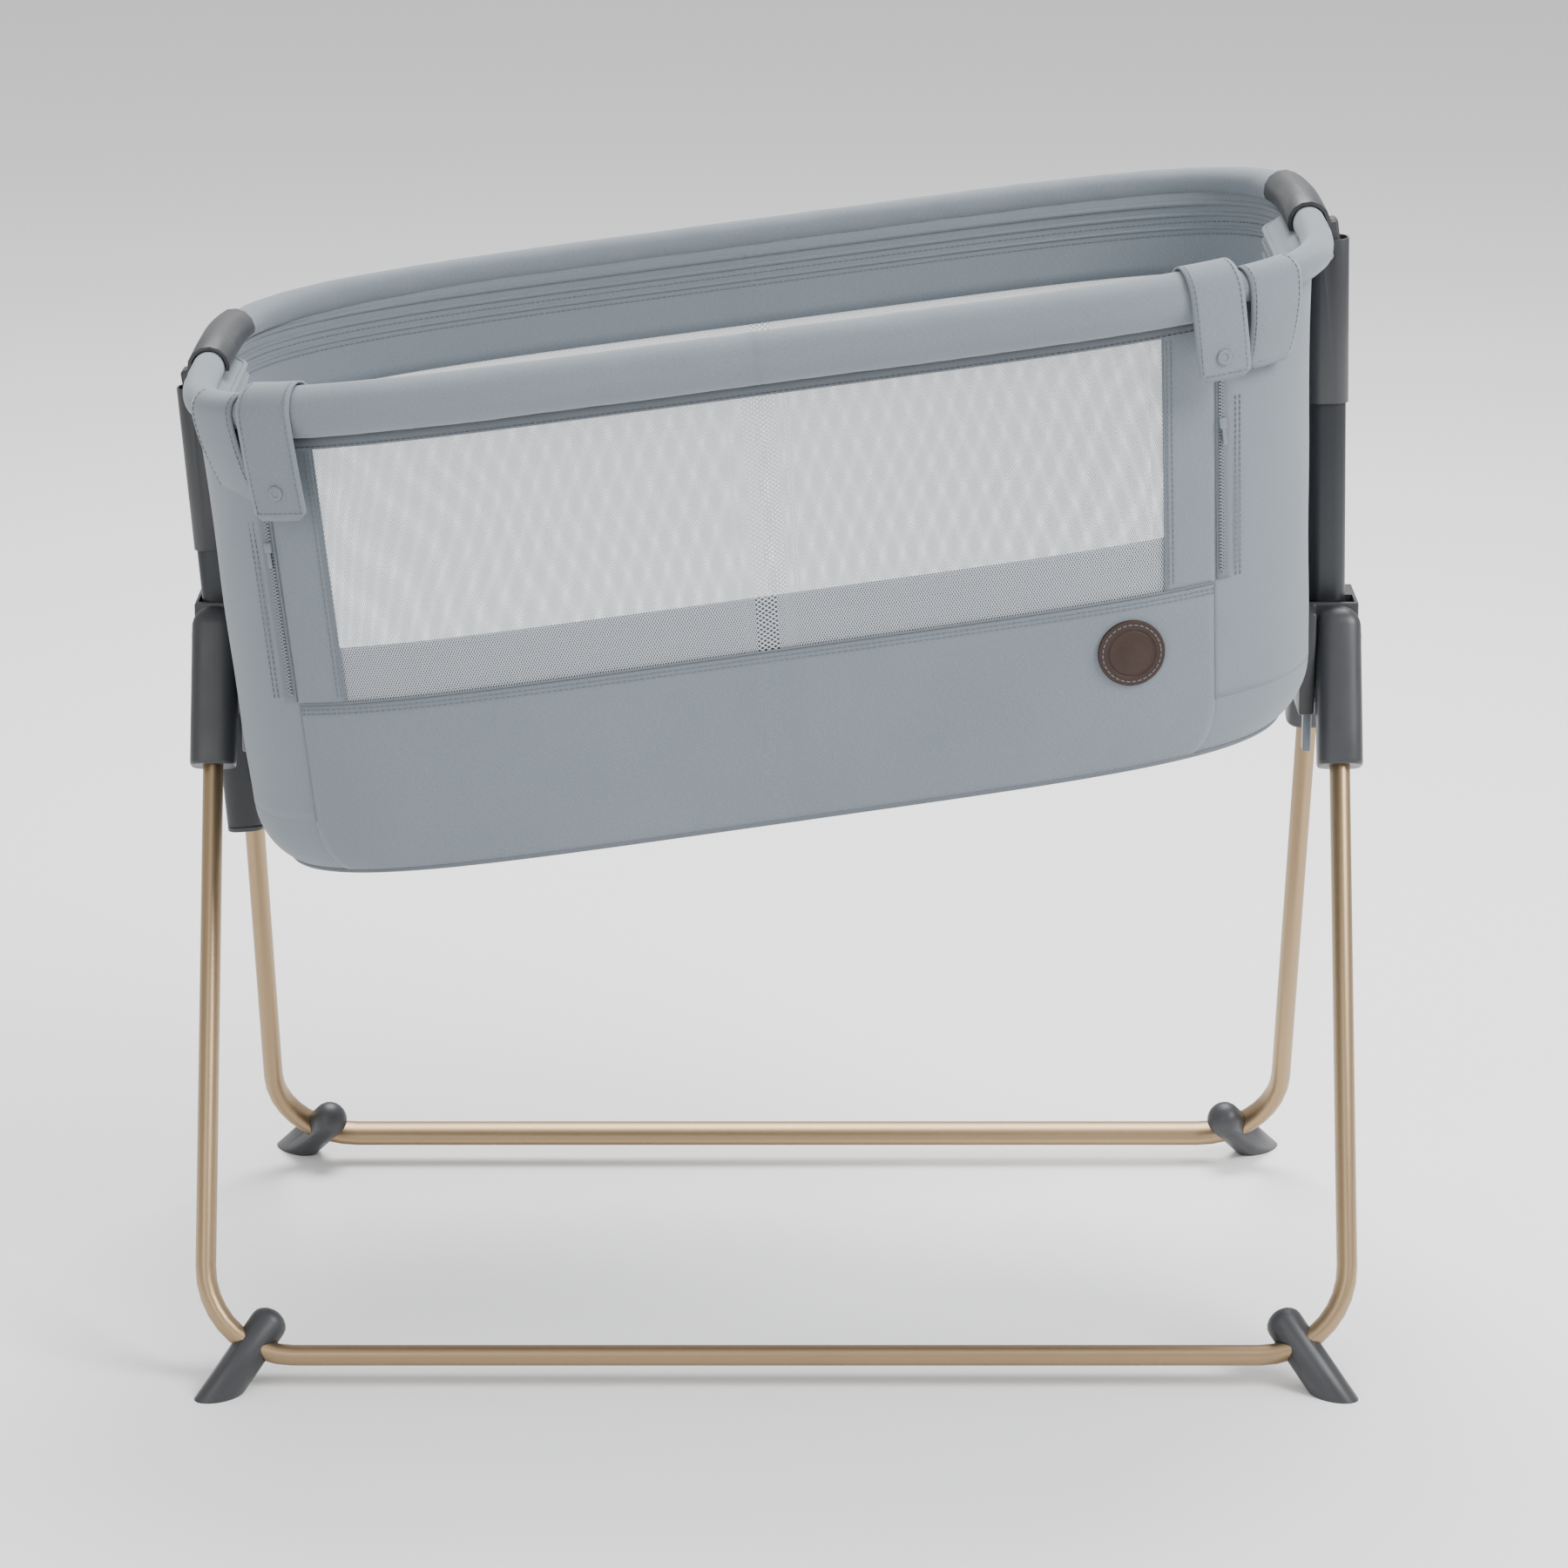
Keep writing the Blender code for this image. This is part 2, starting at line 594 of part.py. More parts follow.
def wall(name, start, end, top, bottom, columns, rows, finish_name, body, thickness=WALL_THICKNESS, proud=0.0):
    """A sheet of the basket's side between two angles and two depths, thickened inwards."""
    angles = spaced_angles(start, end, columns)
    depths = [wall_depths(max(top, clear_top(angle)), bottom, rows) for angle in angles]
    last_row = len(depths[0]) - 1
    bm = bmesh.new()
    bmesh.ops.create_grid(bm, x_segments=columns, y_segments=last_row, size=0.5)
    for vert in bm.verts:
        column = round((vert.co.x + 0.5) * columns)
        row = round((0.5 - vert.co.y) * last_row)
        vert.co = wall_point(angles[column], depths[column][row], -proud)
    sheet = thicken(from_bmesh(bm, BASKET), thickness)
    return attach(finish(sheet, name, finish_name), body)


RAIL_START = angle_at(RAIL_LEFT, back=False)
RAIL_END = angle_at(RAIL_RIGHT, back=False)
PANEL_START = angle_at(PANEL_LEFT, back=False)
PANEL_END = angle_at(PANEL_RIGHT, back=False)
BACK_LEFT = angle_at(-BACK_SPLIT, back=True)
BACK_RIGHT = angle_at(BACK_SPLIT, back=True)
FULL_TURN = 2 * math.pi


def rim(body):
    start, end = RAIL_END, RAIL_START + FULL_TURN
    path = rim_points(start, end, 40)
    tube = swept(path, RIM_TUBE_RADIUS, BASKET, resolution=3)
    attach(finish(tube, "rim_tube", "steel"), body)
    cover = swept(path, RIM_COVER_RADIUS, BASKET, resolution=3, capped=False)
    thicken(cover, RIM_COVER_RADIUS - RIM_TUBE_RADIUS - COVER_SLACK)
    attach(finish(cover, "rim_cover", "fabric"), body)


def bracket(side, side_word, body):
    """A saddle over the back half of the rim's end, with a boss that hangs into the post's sleeve."""
    def saddle_path(first, last):
        count = 8
        spans = [first + (last - first) * i / count for i in range(count + 1)]
        return [(side * RIM_HALF_LENGTH * (1 - (abs(y) / RIM_HALF_WIDTH) ** RIM_POWER) ** (1 / RIM_POWER), y)
                for y in spans]

    saddle = swept(saddle_path(BRACKET_FROM, BRACKET_TO), BRACKET_RADIUS, BASKET, resolution=5)
    span = sorted((side * (PIVOT_U + 0.05), side * (PIVOT_U - 0.08)))
    underside = box((span[0], -0.1, -0.05), (span[1], 0.25, BRACKET_SKIRT), BASKET, CUTTERS)
    combine(saddle, underside, "DIFFERENCE")
    boss = box((side * PIVOT_U - 0.0105, -0.0105, PIVOT_W - 0.014), (side * PIVOT_U + 0.0105, 0.0105, -0.0005),
               BASKET, CUTTERS, round_by=0.002, steps=1)
    combine(saddle, boss, "UNION")
    inside = swept(saddle_path(BRACKET_FROM - 0.03, BRACKET_TO + 0.03), BRACKET_BORE, BASKET, resolution=5,
                   collection=CUTTERS)
    combine(saddle, inside, "DIFFERENCE")
    inner = side * (RIM_HALF_LENGTH - 0.003)
    span = sorted((inner, inner - side * 0.06))
    opening = box((span[0], -0.1, -0.05), (span[1], 0.25, -0.0045), BASKET, CUTTERS)
    combine(saddle, opening, "DIFFERENCE")
    bore = cylinder(POST_PIN_RADIUS + FIT, (side * PIVOT_U, -0.03, PIVOT_W), (side * PIVOT_U, 0.03, PIVOT_W),
                    BASKET, CUTTERS)
    combine(saddle, bore, "DIFFERENCE")
    attach(finish(saddle, f"{side_word}_bracket", "plastic"), body)


def rail_frame(angle):
    """A frame on the rim line: x along it, y outwards and z up."""
    at = Vector(superellipse(angle, RIM_HALF_LENGTH, RIM_HALF_WIDTH))
    near = Vector(superellipse(angle + 0.01, RIM_HALF_LENGTH, RIM_HALF_WIDTH))
    along = (near - at).normalized()
    return basis(along.to_3d(), Vector((along.y, -along.x, 0)), Vector((0, 0, 1)), at.to_3d())


def tab(name, u, hang, body):
    """A fabric tab that wraps over the rail and hangs down outside it."""
    ends = [angle_at(u + offset, back=False) for offset in (-TAB_HALF, TAB_HALF)]
    frames = [rail_frame(angle) for angle in spaced_angles(*ends, 3)]
    steps = 10
    arc = [math.pi * i / steps for i in range(steps + 1)]
    line = [(-TAB_RADIUS, -0.012)]
    line += [(-TAB_RADIUS * math.cos(a), TAB_RADIUS * math.sin(a)) for a in arc]
    line += [(TAB_RADIUS - 0.001, -hang * 0.5), (TAB_RADIUS - 0.004, -hang)]
    bm = bmesh.new()
    bmesh.ops.create_grid(bm, x_segments=len(frames) - 1, y_segments=len(line) - 1, size=0.5)
    for vert in bm.verts:
        across, up = line[round((vert.co.y + 0.5) * (len(line) - 1))]
        frame = frames[round((vert.co.x + 0.5) * (len(frames) - 1))]
        vert.co = frame @ Vector((0, across, up))
    attach(finish(thicken(from_bmesh(bm, BASKET), TAB_THICKNESS, offset=-1.0), name, "fabric"), body)


def snap(name, u, hang, body):
    """A press stud on a tab."""
    frame = BASKET @ rail_frame(angle_at(u, back=False))
    lean = math.atan2(0.003, hang * 0.5)
    middle = Vector((0, TAB_RADIUS - 0.0022, -hang * 0.72))
    out = Vector((0, math.cos(lean), math.sin(lean) * -1))
    stud = cylinder(0.0058, middle + out * 0.0020, middle + out * 0.0035, frame, sides=18)
    attach(finish(stud, name, "fabric"), body)


def badge(body):
    """A plain round leather patch on the front panel."""
    u, depth = 0.254, 0.2706
    angle = angle_at(u, back=False)
    for _ in range(20):
        angle += (u - wall_point(angle, depth).x) * 1.5
    at = wall_point(angle, depth)
    along = (wall_point(angle + 0.004, depth) - at).normalized()
    upward = (wall_point(angle, depth - 0.004) - at).normalized()
    out = along.cross(upward).normalized()
    if out.y > 0:
        out.negate()
    patch = cylinder(0.0262, at + out * 0.0012, at + out * 0.0036, BASKET, sides=32)
    attach(finish(patch, "leather_badge", "leather"), body)


def base_plate(name, top, bottom, inset, finish_name, body):
    angles = spaced_angles(0, FULL_TURN, 64)[:-1]
    middle = (top + bottom) / 2
    points = [tuple(wall_point(a, bottom, inset))[:2] for a in angles]
    slope = math.atan(LOW_END_DROOP * middle / RIM_HALF_LENGTH)
    level = BASKET @ Matrix.Translation((0, 0, drooped(0, middle))) @ Matrix.Rotation(-slope, 4, "Y")
    sheet = plate(points, (bottom - top) / 2, level)
    attach(finish(sheet, name, finish_name), body)


def basket():
    body = empty("basket_incline_axis", Matrix.Translation(pivot_point(-1)) @ Matrix.Rotation(-INCLINE, 4, "Y"))
    rim(body)
    for side, side_word in ((-1, "left"), (1, "right")):
        bracket(side, side_word, body)
    bottom = BASKET_DEPTH - 0.0005
    wall("back_top_band", BACK_RIGHT, BACK_LEFT, WALL_TOP, BACK_MESH_TOP - 0.0006, 12, 2, "fabric", body)
    wall("back_mesh", BACK_RIGHT, BACK_LEFT, BACK_MESH_TOP, BACK_MESH_BOTTOM, 12, 3, "mesh", body, 0.0015)
    wall("back_lower_panel", BACK_RIGHT, BACK_LEFT, BACK_MESH_BOTTOM + 0.0006, bottom, 12, 1, "fabric", body)
    wall("left_end_wall", BACK_LEFT + SEAM_GAP, PANEL_START + FULL_TURN - SEAM_GAP, WALL_TOP, bottom, 22, 3,
         "fabric", body)
    wall("right_end_wall", PANEL_END + SEAM_GAP, BACK_RIGHT - SEAM_GAP, WALL_TOP, bottom, 22, 3,
         "fabric", body)
    wall("front_lower_panel", PANEL_START, PANEL_END, DROP_SEAM + 0.0012, bottom, 12, 1, "fabric", body)
    for word, start, end in ZIPS:
        wall(f"{word}_zip", angle_at(start, back=False), angle_at(end, back=False), ZIP_TOP, ZIP_BOTTOM, 2, 4,
             "mesh", body, 0.0012, proud=0.0018)
    badge(body)
    return body


def hanging_base():
    body = empty("base_sway_axis", BASKET @ Matrix.Translation((0, 0, -BASKET_DEPTH)))
    base_plate("mattress", MATTRESS_TOP, MATTRESS_BOTTOM, 0.0085, "foam", body)
    base_plate("base_board", MATTRESS_BOTTOM + 0.0006, BOARD_BOTTOM, 0.0085, "board", body)
    base_plate("base_cover", COVER_TOP, BASKET_DEPTH - 0.0015, 0.0105, "fabric", body)


def drop_hinge():
    """The line that the drop side turns about, just outside the widest part of its seam."""
    slope = math.atan(LOW_END_DROOP * DROP_SEAM / RIM_HALF_LENGTH)
    at = Vector((0.0, -half_width(DROP_SEAM) - 0.0015, drooped(0, DROP_SEAM)))
    return BASKET @ Matrix.Translation(at) @ Matrix.Rotation(-slope, 4, "Y")


def drop_side():
    body = empty("drop_side_axis", drop_hinge())
    path = rim_points(*(angle_at(u, back=False) for u in (RAIL_LEFT + RAIL_GAP, RAIL_RIGHT - RAIL_GAP)), 16)
    tube = swept(path, RAIL_TUBE_RADIUS, BASKET, resolution=2)
    attach(finish(tube, "drop_rail_tube", "steel"), body)
    pad = swept(path, RAIL_RADIUS, BASKET, resolution=5, capped=False)
    thicken(pad, RAIL_RADIUS - RAIL_TUBE_RADIUS - COVER_SLACK)
    attach(finish(pad, "drop_rail_pad", "fabric"), body)
    start, end = (angle_at(u, back=False) for u in (PANEL_LEFT + PANEL_GAP, PANEL_RIGHT - PANEL_GAP))
    wall("drop_side_mesh", start, end, RAIL_RADIUS + 0.0010, DROP_SEAM - 0.0006, 12, 2, "mesh", body, 0.0015)
    for word, u, hang in TABS:
        tab(f"{word}_rail_tab", u, hang, body)
        snap(f"{word}_tab_snap", u, hang, body)


clear_scene()
HUB_FRAME = empty("hub_frame", Matrix.Translation((0, 0, PIVOT_HEIGHT)))
for hub_side, hub_word in ((-1, "left"), (1, "right")):
    hub(hub_side, hub_word)
    height_button(hub_side, hub_word)
    fold_latch(hub_side, hub_word)
    post(hub_side, hub_word)
for frame_word, frame_sign, frame_half in (("front", -1, FRONT_HALF), ("rear", 1, REAR_HALF)):
    leg_frame(frame_word, frame_sign, frame_half,
              empty(f"{frame_word}_leg_axis", Matrix.Translation(leg_pivot(frame_sign))))
basket()
hanging_base()
drop_side()
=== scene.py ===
"""Bassinet on a folding stand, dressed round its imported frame.

The frame gives every rigid piece its place. This file sews the basket, its mesh side, the padded rail,
the tabs and the zips round it, finishes the stand's plastic and metal, and sets up a plain stage.
Metres, +Z up, +X along the basket towards its raised end, -Y towards the side that drops.
"""

import json
import math

import bmesh
import bpy
from bpy.props import FloatProperty, FloatVectorProperty, PointerProperty
from mathutils import Matrix, Vector, noise


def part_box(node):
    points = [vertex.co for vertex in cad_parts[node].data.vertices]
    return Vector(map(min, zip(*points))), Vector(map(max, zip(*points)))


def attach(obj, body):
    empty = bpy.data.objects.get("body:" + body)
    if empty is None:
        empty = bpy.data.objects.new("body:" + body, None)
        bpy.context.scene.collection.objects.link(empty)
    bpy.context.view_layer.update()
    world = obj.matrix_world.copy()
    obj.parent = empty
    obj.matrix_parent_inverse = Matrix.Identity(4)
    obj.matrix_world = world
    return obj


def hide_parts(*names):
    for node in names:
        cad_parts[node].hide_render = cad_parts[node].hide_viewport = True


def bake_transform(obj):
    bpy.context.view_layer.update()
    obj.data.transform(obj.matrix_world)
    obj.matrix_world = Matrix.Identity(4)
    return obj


bl_info = {
    "name": "Bassinet on stand",
    "version": (1, 0, 0),
    "blender": (4, 5, 0),
    "location": "View3D > Sidebar > Bassinet",
    "description": "Sews a bassinet's basket round its frame and finishes its folding stand",
    "category": "Object",
}

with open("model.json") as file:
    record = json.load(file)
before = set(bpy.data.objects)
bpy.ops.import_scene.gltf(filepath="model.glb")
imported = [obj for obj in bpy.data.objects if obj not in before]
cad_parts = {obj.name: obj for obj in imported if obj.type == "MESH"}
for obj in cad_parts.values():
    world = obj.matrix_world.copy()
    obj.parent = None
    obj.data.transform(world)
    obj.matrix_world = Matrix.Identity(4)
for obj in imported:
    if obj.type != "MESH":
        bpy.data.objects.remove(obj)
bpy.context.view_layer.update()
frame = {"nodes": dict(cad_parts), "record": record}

# Basket axes: u along the rim, y across, w up from the rim's plane.
RIM_CENTRE = Vector((-0.0155, 0.0, 0.8215))
PIVOT_U = 0.4533
INCLINE = math.asin(0.120 / (2 * PIVOT_U))
BASKET = Matrix.Translation(RIM_CENTRE) @ Matrix.Rotation(-INCLINE, 4, "Y")
RIM_HALF_LENGTH = 0.4403
RIM_HALF_WIDTH = 0.2690
RIM_POWER = 4.4
RIM_ROLL_RADIUS = 0.0128
RAIL_RADIUS = 0.0205
RAIL_SPAN = (-0.3770, 0.3560)
RIM_SPAN = (0.3590, -0.3800)
PANEL_SPAN = (-0.3765, 0.3515)
WINDOW_SPAN = (-0.3380, 0.3120)
BACK_SPLIT = 0.330

# The wall: its depth below the rim, and how it narrows, leans and rounds towards the bottom.
BASKET_DEPTH = 0.3665
WALL_HALF_LENGTH = 0.4411
WALL_HALF_WIDTH = 0.2620
LENGTH_TAPER = 0.0483
WIDTH_TAPER = 0.0740
SWAY_AT_TOP = -0.0045
SWAY_PER_DEPTH = -0.0648
END_CORNER = 0.045
SIDE_CORNER = 0.008
LOW_END_DROOP = 0.016
WALL_TOP = 0.004
WALL_BOTTOM = BASKET_DEPTH - 0.0006
# The end walls stand in by the dent's depth where they pass the posts.
DENT_DEPTH = 0.023
RIM_TUCK = 0.003
RIM_TUCK_FALL = 0.013
DENT_FROM = 0.120
DENT_TO = 0.060
DROP_SEAM = 0.228
BAND_TOP = 0.186
BACK_MESH_TOP = 0.072
BACK_MESH_BOTTOM = 0.300
DROP_TOP = 0.0220
SEAM_LAP = 0.020
CORNER_LAP = 0.008
FABRIC = 0.0016
THIN_FABRIC = 0.0012
LINE_STEP = 0.004
FULL_TURN = 2 * math.pi
# A closed cord's points stop just short of its first one.
NEARLY_ROUND = FULL_TURN * 0.9999
CORNER_TOP = BASKET_DEPTH - END_CORNER
# For each part of the hanging cloth: where its front seam is, which way it stands out, and how fast it bends.
BENDS = {"side": (0.0, 0.0, 0.0, 0.0), "left": (-0.3845, -0.9938, 0.1117, 1.78),
         "right": (0.3595, 0.9981, 0.0607, 0.8)}

TABS = (("left", -0.3650, 0.080), ("right", 0.3420, 0.064))
TAB_HALF = 0.0185
TAB_RADIUS = 0.0236
TAB_DRAW_IN = 0.004
STUD_SHARE = 0.72
# Each flap's ends along the rim, and how far it hangs.
FLAPS = {"left": (-0.4240, -0.3930, 0.078), "right": (0.3690, 0.4060, 0.066)}
FLAP_RADIUS = 0.0148
FLAP_DRAW_IN = 0.0190
ZIPS = (("left", -0.3845, -0.3785), ("right", 0.3535, 0.3595))
ZIP_TOP = 0.028
ZIP_BOTTOM = 0.2260
TEETH_TOP = 0.034
TOOTH_PITCH = 0.0026
TOOTH_COUNT = 72
TOOTH = (0.0026, 0.0013, 0.0014)
SLIDER_DEPTH = 0.104
BADGE_U = 0.254
BADGE_DEPTH = 0.2706
BADGE_RADIUS = 0.0262
BADGE_SEWN_AT = 0.0228
MATTRESS_TOP = 0.305
MATTRESS_BOTTOM = 0.350
PAD_INSET = 0.0105

LEG_LEAN = math.radians(24)
LEG_PIVOT_Y = 0.034
LEG_PIVOT_Z = 0.555
SLEEVE_HALF_DEEP = 0.0174
SLEEVE_POWER = 3.2
SLEEVE_SIDES = 40
DOME_STEPS = 10

CAMERA_AIM = Vector((0.006, 0.0, 0.416))
CAMERA_AWAY = 4.75
CAMERA_RISE = math.radians(15.4)
CAMERA_LENS = 134.02


def linear(code):
    """An sRGB hex colour as linear red, green, blue and alpha."""
    channels = [int(code[i:i + 2], 16) / 255 for i in (1, 3, 5)]
    return tuple(c / 12.92 if c <= 0.04045 else ((c + 0.055) / 1.055) ** 2.4 for c in channels) + (1.0,)


def shaded(tint, factor):
    """The colour made darker or lighter by a factor."""
    return tuple(min(1.0, channel * factor) for channel in tint[:3]) + (1.0,)


def colour_property(label, words, code):
    return FloatVectorProperty(name=label, description=words, subtype="COLOR", size=4, min=0, max=1,
                               default=linear(code))


class BassinetColours(bpy.types.PropertyGroup):
    cloth: colour_property("Cloth", "Grey melange cloth of the basket", "#777F86")
    cloth_shade: colour_property("Cloth shade", "Darker yarn in the melange cloth", "#646C73")
    mesh: colour_property("Mesh", "Knitted mesh of the drop side and the back", "#B9BEC4")
    binding: colour_property("Binding", "Dark binding tape and piping", "#63696F")
    plastic: colour_property("Plastic", "Moulded charcoal plastic", "#2E2F32")
    leg: colour_property("Leg tube", "Champagne anodised tube", "#A38B6C")
    post: colour_property("Post tube", "Powder-coated tube of the posts", "#2F3134")
    seam: colour_property("Seam", "Sewn seams and zips of the basket", "#676E75")
    leather: colour_property("Leather", "Brown leather patch", "#331E14")
    mattress: colour_property("Mattress", "Pale mattress cover", "#D9DCDE")


class BassinetSizes(bpy.types.PropertyGroup):
    thread: FloatProperty(name="Thread spacing", description="Spacing of the cloth's threads",
                          default=0.0011, unit="LENGTH")
    mesh_cell: FloatProperty(name="Mesh cell", description="Spacing of the holes in the mesh",
                             default=0.0018, unit="LENGTH")
    stitch: FloatProperty(name="Stitch length", description="Length of one sewn stitch",
                          default=0.0030, unit="LENGTH")
    crease: FloatProperty(name="Crease height", description="Height of the creases in the end walls",
                          default=0.0016, unit="LENGTH")


def sizes():
    return bpy.context.scene.bassinet_sizes


def colours():
    return bpy.context.scene.bassinet_colours


# Materials ------------------------------------------------------------------------------------------

def add_node(tree, kind, values=None, **settings):
    """Adds a node, sets its attributes, and sets or links its inputs."""
    node = tree.nodes.new(kind)
    for key, value in settings.items():
        setattr(node, key, value)
    for socket, value in (values or {}).items():
        if isinstance(value, bpy.types.NodeSocket):
            tree.links.new(value, node.inputs[socket])
        else:
            node.inputs[socket].default_value = value
    return node


def new_material(name, **values):
    """A named material with its shader. Returns the material, its tree and the shader."""
    material = bpy.data.materials.new(name)
    material.use_nodes = True
    tree = material.node_tree
    tree.nodes.clear()
    shader = add_node(tree, "ShaderNodeBsdfPrincipled", {k.replace("_", " "): v for k, v in values.items()})
    out = add_node(tree, "ShaderNodeOutputMaterial")
    tree.links.new(shader.outputs[0], out.inputs[0])
    return material, tree, shader


def blend_colours(tree, share, first, second):
    mix = add_node(tree, "ShaderNodeMix", {0: share, 6: first, 7: second}, data_type="RGBA")
    return mix.outputs[2]


def thread_waves(tree, source, spacing, across):
    """Bands of threads. One wave is 0.314 over the scale, so the scale follows from the spacing."""
    turned = add_node(tree, "ShaderNodeMapping", {0: source, "Rotation": (0, 0, across)})
    wave = add_node(tree, "ShaderNodeTexWave", {"Vector": turned.outputs[0], "Scale": 0.314159 / spacing,
                                                "Distortion": 0.6, "Detail": 1.0, "Detail Scale": 2.0},
                    wave_type="BANDS", bands_direction="X", wave_profile="SIN")
    return wave.outputs["Fac"]


def bump(tree, shader, height, distance, strength):
    node = add_node(tree, "ShaderNodeBump", {"Height": height, "Distance": distance, "Strength": strength})
    tree.links.new(node.outputs[0], shader.inputs["Normal"])


def melange_cloth(name, light, dark, on_surface=True, contrast=0.5):
    """Woven melange polyester, dyed fibre spun together: two greys that mix thread by thread, and no gloss.
    Such threads are about 0.4 mm apart. They are drawn 1.1 mm apart, because finer ones would not show."""
    material, tree, shader = new_material(name, Roughness=0.88, Sheen_Weight=0.22, Sheen_Roughness=0.5,
                                          Specular_IOR_Level=0.25)
    place = add_node(tree, "ShaderNodeTexCoord").outputs["UV" if on_surface else "Object"]
    stretched = add_node(tree, "ShaderNodeMapping", {0: place, "Scale": (1.0, 3.2, 1.0)})
    fibre = add_node(tree, "ShaderNodeTexNoise", {"Vector": stretched.outputs[0], "Scale": 420.0,
                                                 "Detail": 3.0})
    patches = add_node(tree, "ShaderNodeTexNoise", {"Vector": place, "Scale": 9.0, "Detail": 2.0})
    level = add_node(tree, "ShaderNodeMapRange", {0: fibre.outputs["Fac"], 1: 0.35, 2: 0.65, 3: 0.0,
                                                 4: contrast})
    soft = add_node(tree, "ShaderNodeMapRange", {0: patches.outputs["Fac"], 1: 0.3, 2: 0.7, 3: 0.0, 4: 0.16})
    share = add_node(tree, "ShaderNodeMath", {0: level.outputs[0], 1: soft.outputs[0]}, operation="ADD")
    tree.links.new(blend_colours(tree, share.outputs[0], light, dark), shader.inputs["Base Color"])
    spacing = sizes().thread
    warp = thread_waves(tree, place, spacing, 0.0)
    weft = thread_waves(tree, place, spacing, math.pi / 2)
    weave = add_node(tree, "ShaderNodeMath", {0: warp, 1: weft}, operation="MULTIPLY")
    bump(tree, shader, weave.outputs[0], 0.00018, 0.55)
    return material


def knitted_mesh(name, tint, open_share):
    """Warp-knitted polyester net: thin matt yarn round open cells, so what is behind it shows through.
    Such cells are about 0.9 mm wide. They are drawn 1.8 mm wide, because finer ones would not show."""
    material, tree, shader = new_material(name, Base_Color=tint, Roughness=0.8, Specular_IOR_Level=0.2)
    place = add_node(tree, "ShaderNodeTexCoord").outputs["UV"]
    cell = sizes().mesh_cell
    rows = thread_waves(tree, place, cell, math.radians(30))
    columns = thread_waves(tree, place, cell, math.radians(-30))
    net = add_node(tree, "ShaderNodeMath", {0: rows, 1: columns}, operation="MAXIMUM")
    # At 0.80 each wave is yarn for 0.31 of its length, so both together leave about half of the net open.
    yarn = add_node(tree, "ShaderNodeMapRange", {0: net.outputs[0], 1: open_share - 0.12,
                                                2: open_share + 0.08, 3: 0.0, 4: 1.0})
    tree.links.new(yarn.outputs[0], shader.inputs["Alpha"])
    bump(tree, shader, net.outputs[0], 0.0001, 0.5)
    return material


def moulded_plastic(name, tint, roughness=0.42):
    """Glass-filled nylon, injection moulded: a fine spark-eroded grain that breaks up its soft shine."""
    material, tree, shader = new_material(name, IOR=1.5, Specular_IOR_Level=0.5)
    place = add_node(tree, "ShaderNodeTexCoord").outputs["Object"]
    grain = add_node(tree, "ShaderNodeTexNoise", {"Vector": place, "Scale": 1400.0, "Detail": 2.0})
    cloud = add_node(tree, "ShaderNodeTexNoise", {"Vector": place, "Scale": 30.0, "Detail": 3.0})
    worn = add_node(tree, "ShaderNodeMapRange", {0: cloud.outputs["Fac"], 1: 0.3, 2: 0.7,
                                                3: roughness - 0.05, 4: roughness + 0.07})
    tree.links.new(worn.outputs[0], shader.inputs["Roughness"])
    mixed = blend_colours(tree, cloud.outputs["Fac"], tint, shaded(tint, 1.18))
    tree.links.new(mixed, shader.inputs["Base Color"])
    bump(tree, shader, grain.outputs["Fac"], 0.00008, 0.4)
    return material


def metal(name, tint, roughness, metallic, grain):
    """Drawn tube, anodised, plated or powder coated: faint drawing marks and an even satin shine."""
    material, tree, shader = new_material(name, Metallic=metallic)
    place = add_node(tree, "ShaderNodeTexCoord").outputs["Object"]
    marks = add_node(tree, "ShaderNodeTexNoise", {"Vector": place, "Scale": grain, "Detail": 3.0})
    cloud = add_node(tree, "ShaderNodeTexNoise", {"Vector": place, "Scale": 14.0, "Detail": 2.0})
    satin = add_node(tree, "ShaderNodeMapRange", {0: marks.outputs["Fac"], 1: 0.3, 2: 0.7,
                                                 3: roughness - 0.04, 4: roughness + 0.06})
    tree.links.new(satin.outputs[0], shader.inputs["Roughness"])
    mixed = blend_colours(tree, cloud.outputs["Fac"], tint, shaded(tint, 0.9))
    tree.links.new(mixed, shader.inputs["Base Color"])
    bump(tree, shader, marks.outputs["Fac"], 0.00003, 0.3)
    return material


def tanned_leather(name, tint):
    """Vegetable-tanned leather, waxed: a pebbled grain of about 1 mm, darker between the pebbles."""
    material, tree, shader = new_material(name, Roughness=0.52, Specular_IOR_Level=0.4)
    place = add_node(tree, "ShaderNodeTexCoord").outputs["Object"]
    pebbles = add_node(tree, "ShaderNodeTexVoronoi", {"Vector": place, "Scale": 700.0},
                       feature="DISTANCE_TO_EDGE")
    cloud = add_node(tree, "ShaderNodeTexNoise", {"Vector": place, "Scale": 90.0, "Detail": 4.0})
    edge = add_node(tree, "ShaderNodeMapRange", {0: pebbles.outputs["Distance"], 1: 0.0, 2: 0.16,
                                                3: 0.0, 4: 1.0})
    shade = add_node(tree, "ShaderNodeMath", {0: edge.outputs[0], 1: cloud.outputs["Fac"]},
                     operation="MULTIPLY")
    mixed = blend_colours(tree, shade.outputs[0], shaded(tint, 0.62), shaded(tint, 1.25))
    tree.links.new(mixed, shader.inputs["Base Color"])
    bump(tree, shader, edge.outputs[0], 0.00012, 0.6)
    return material


FINISHES = {}


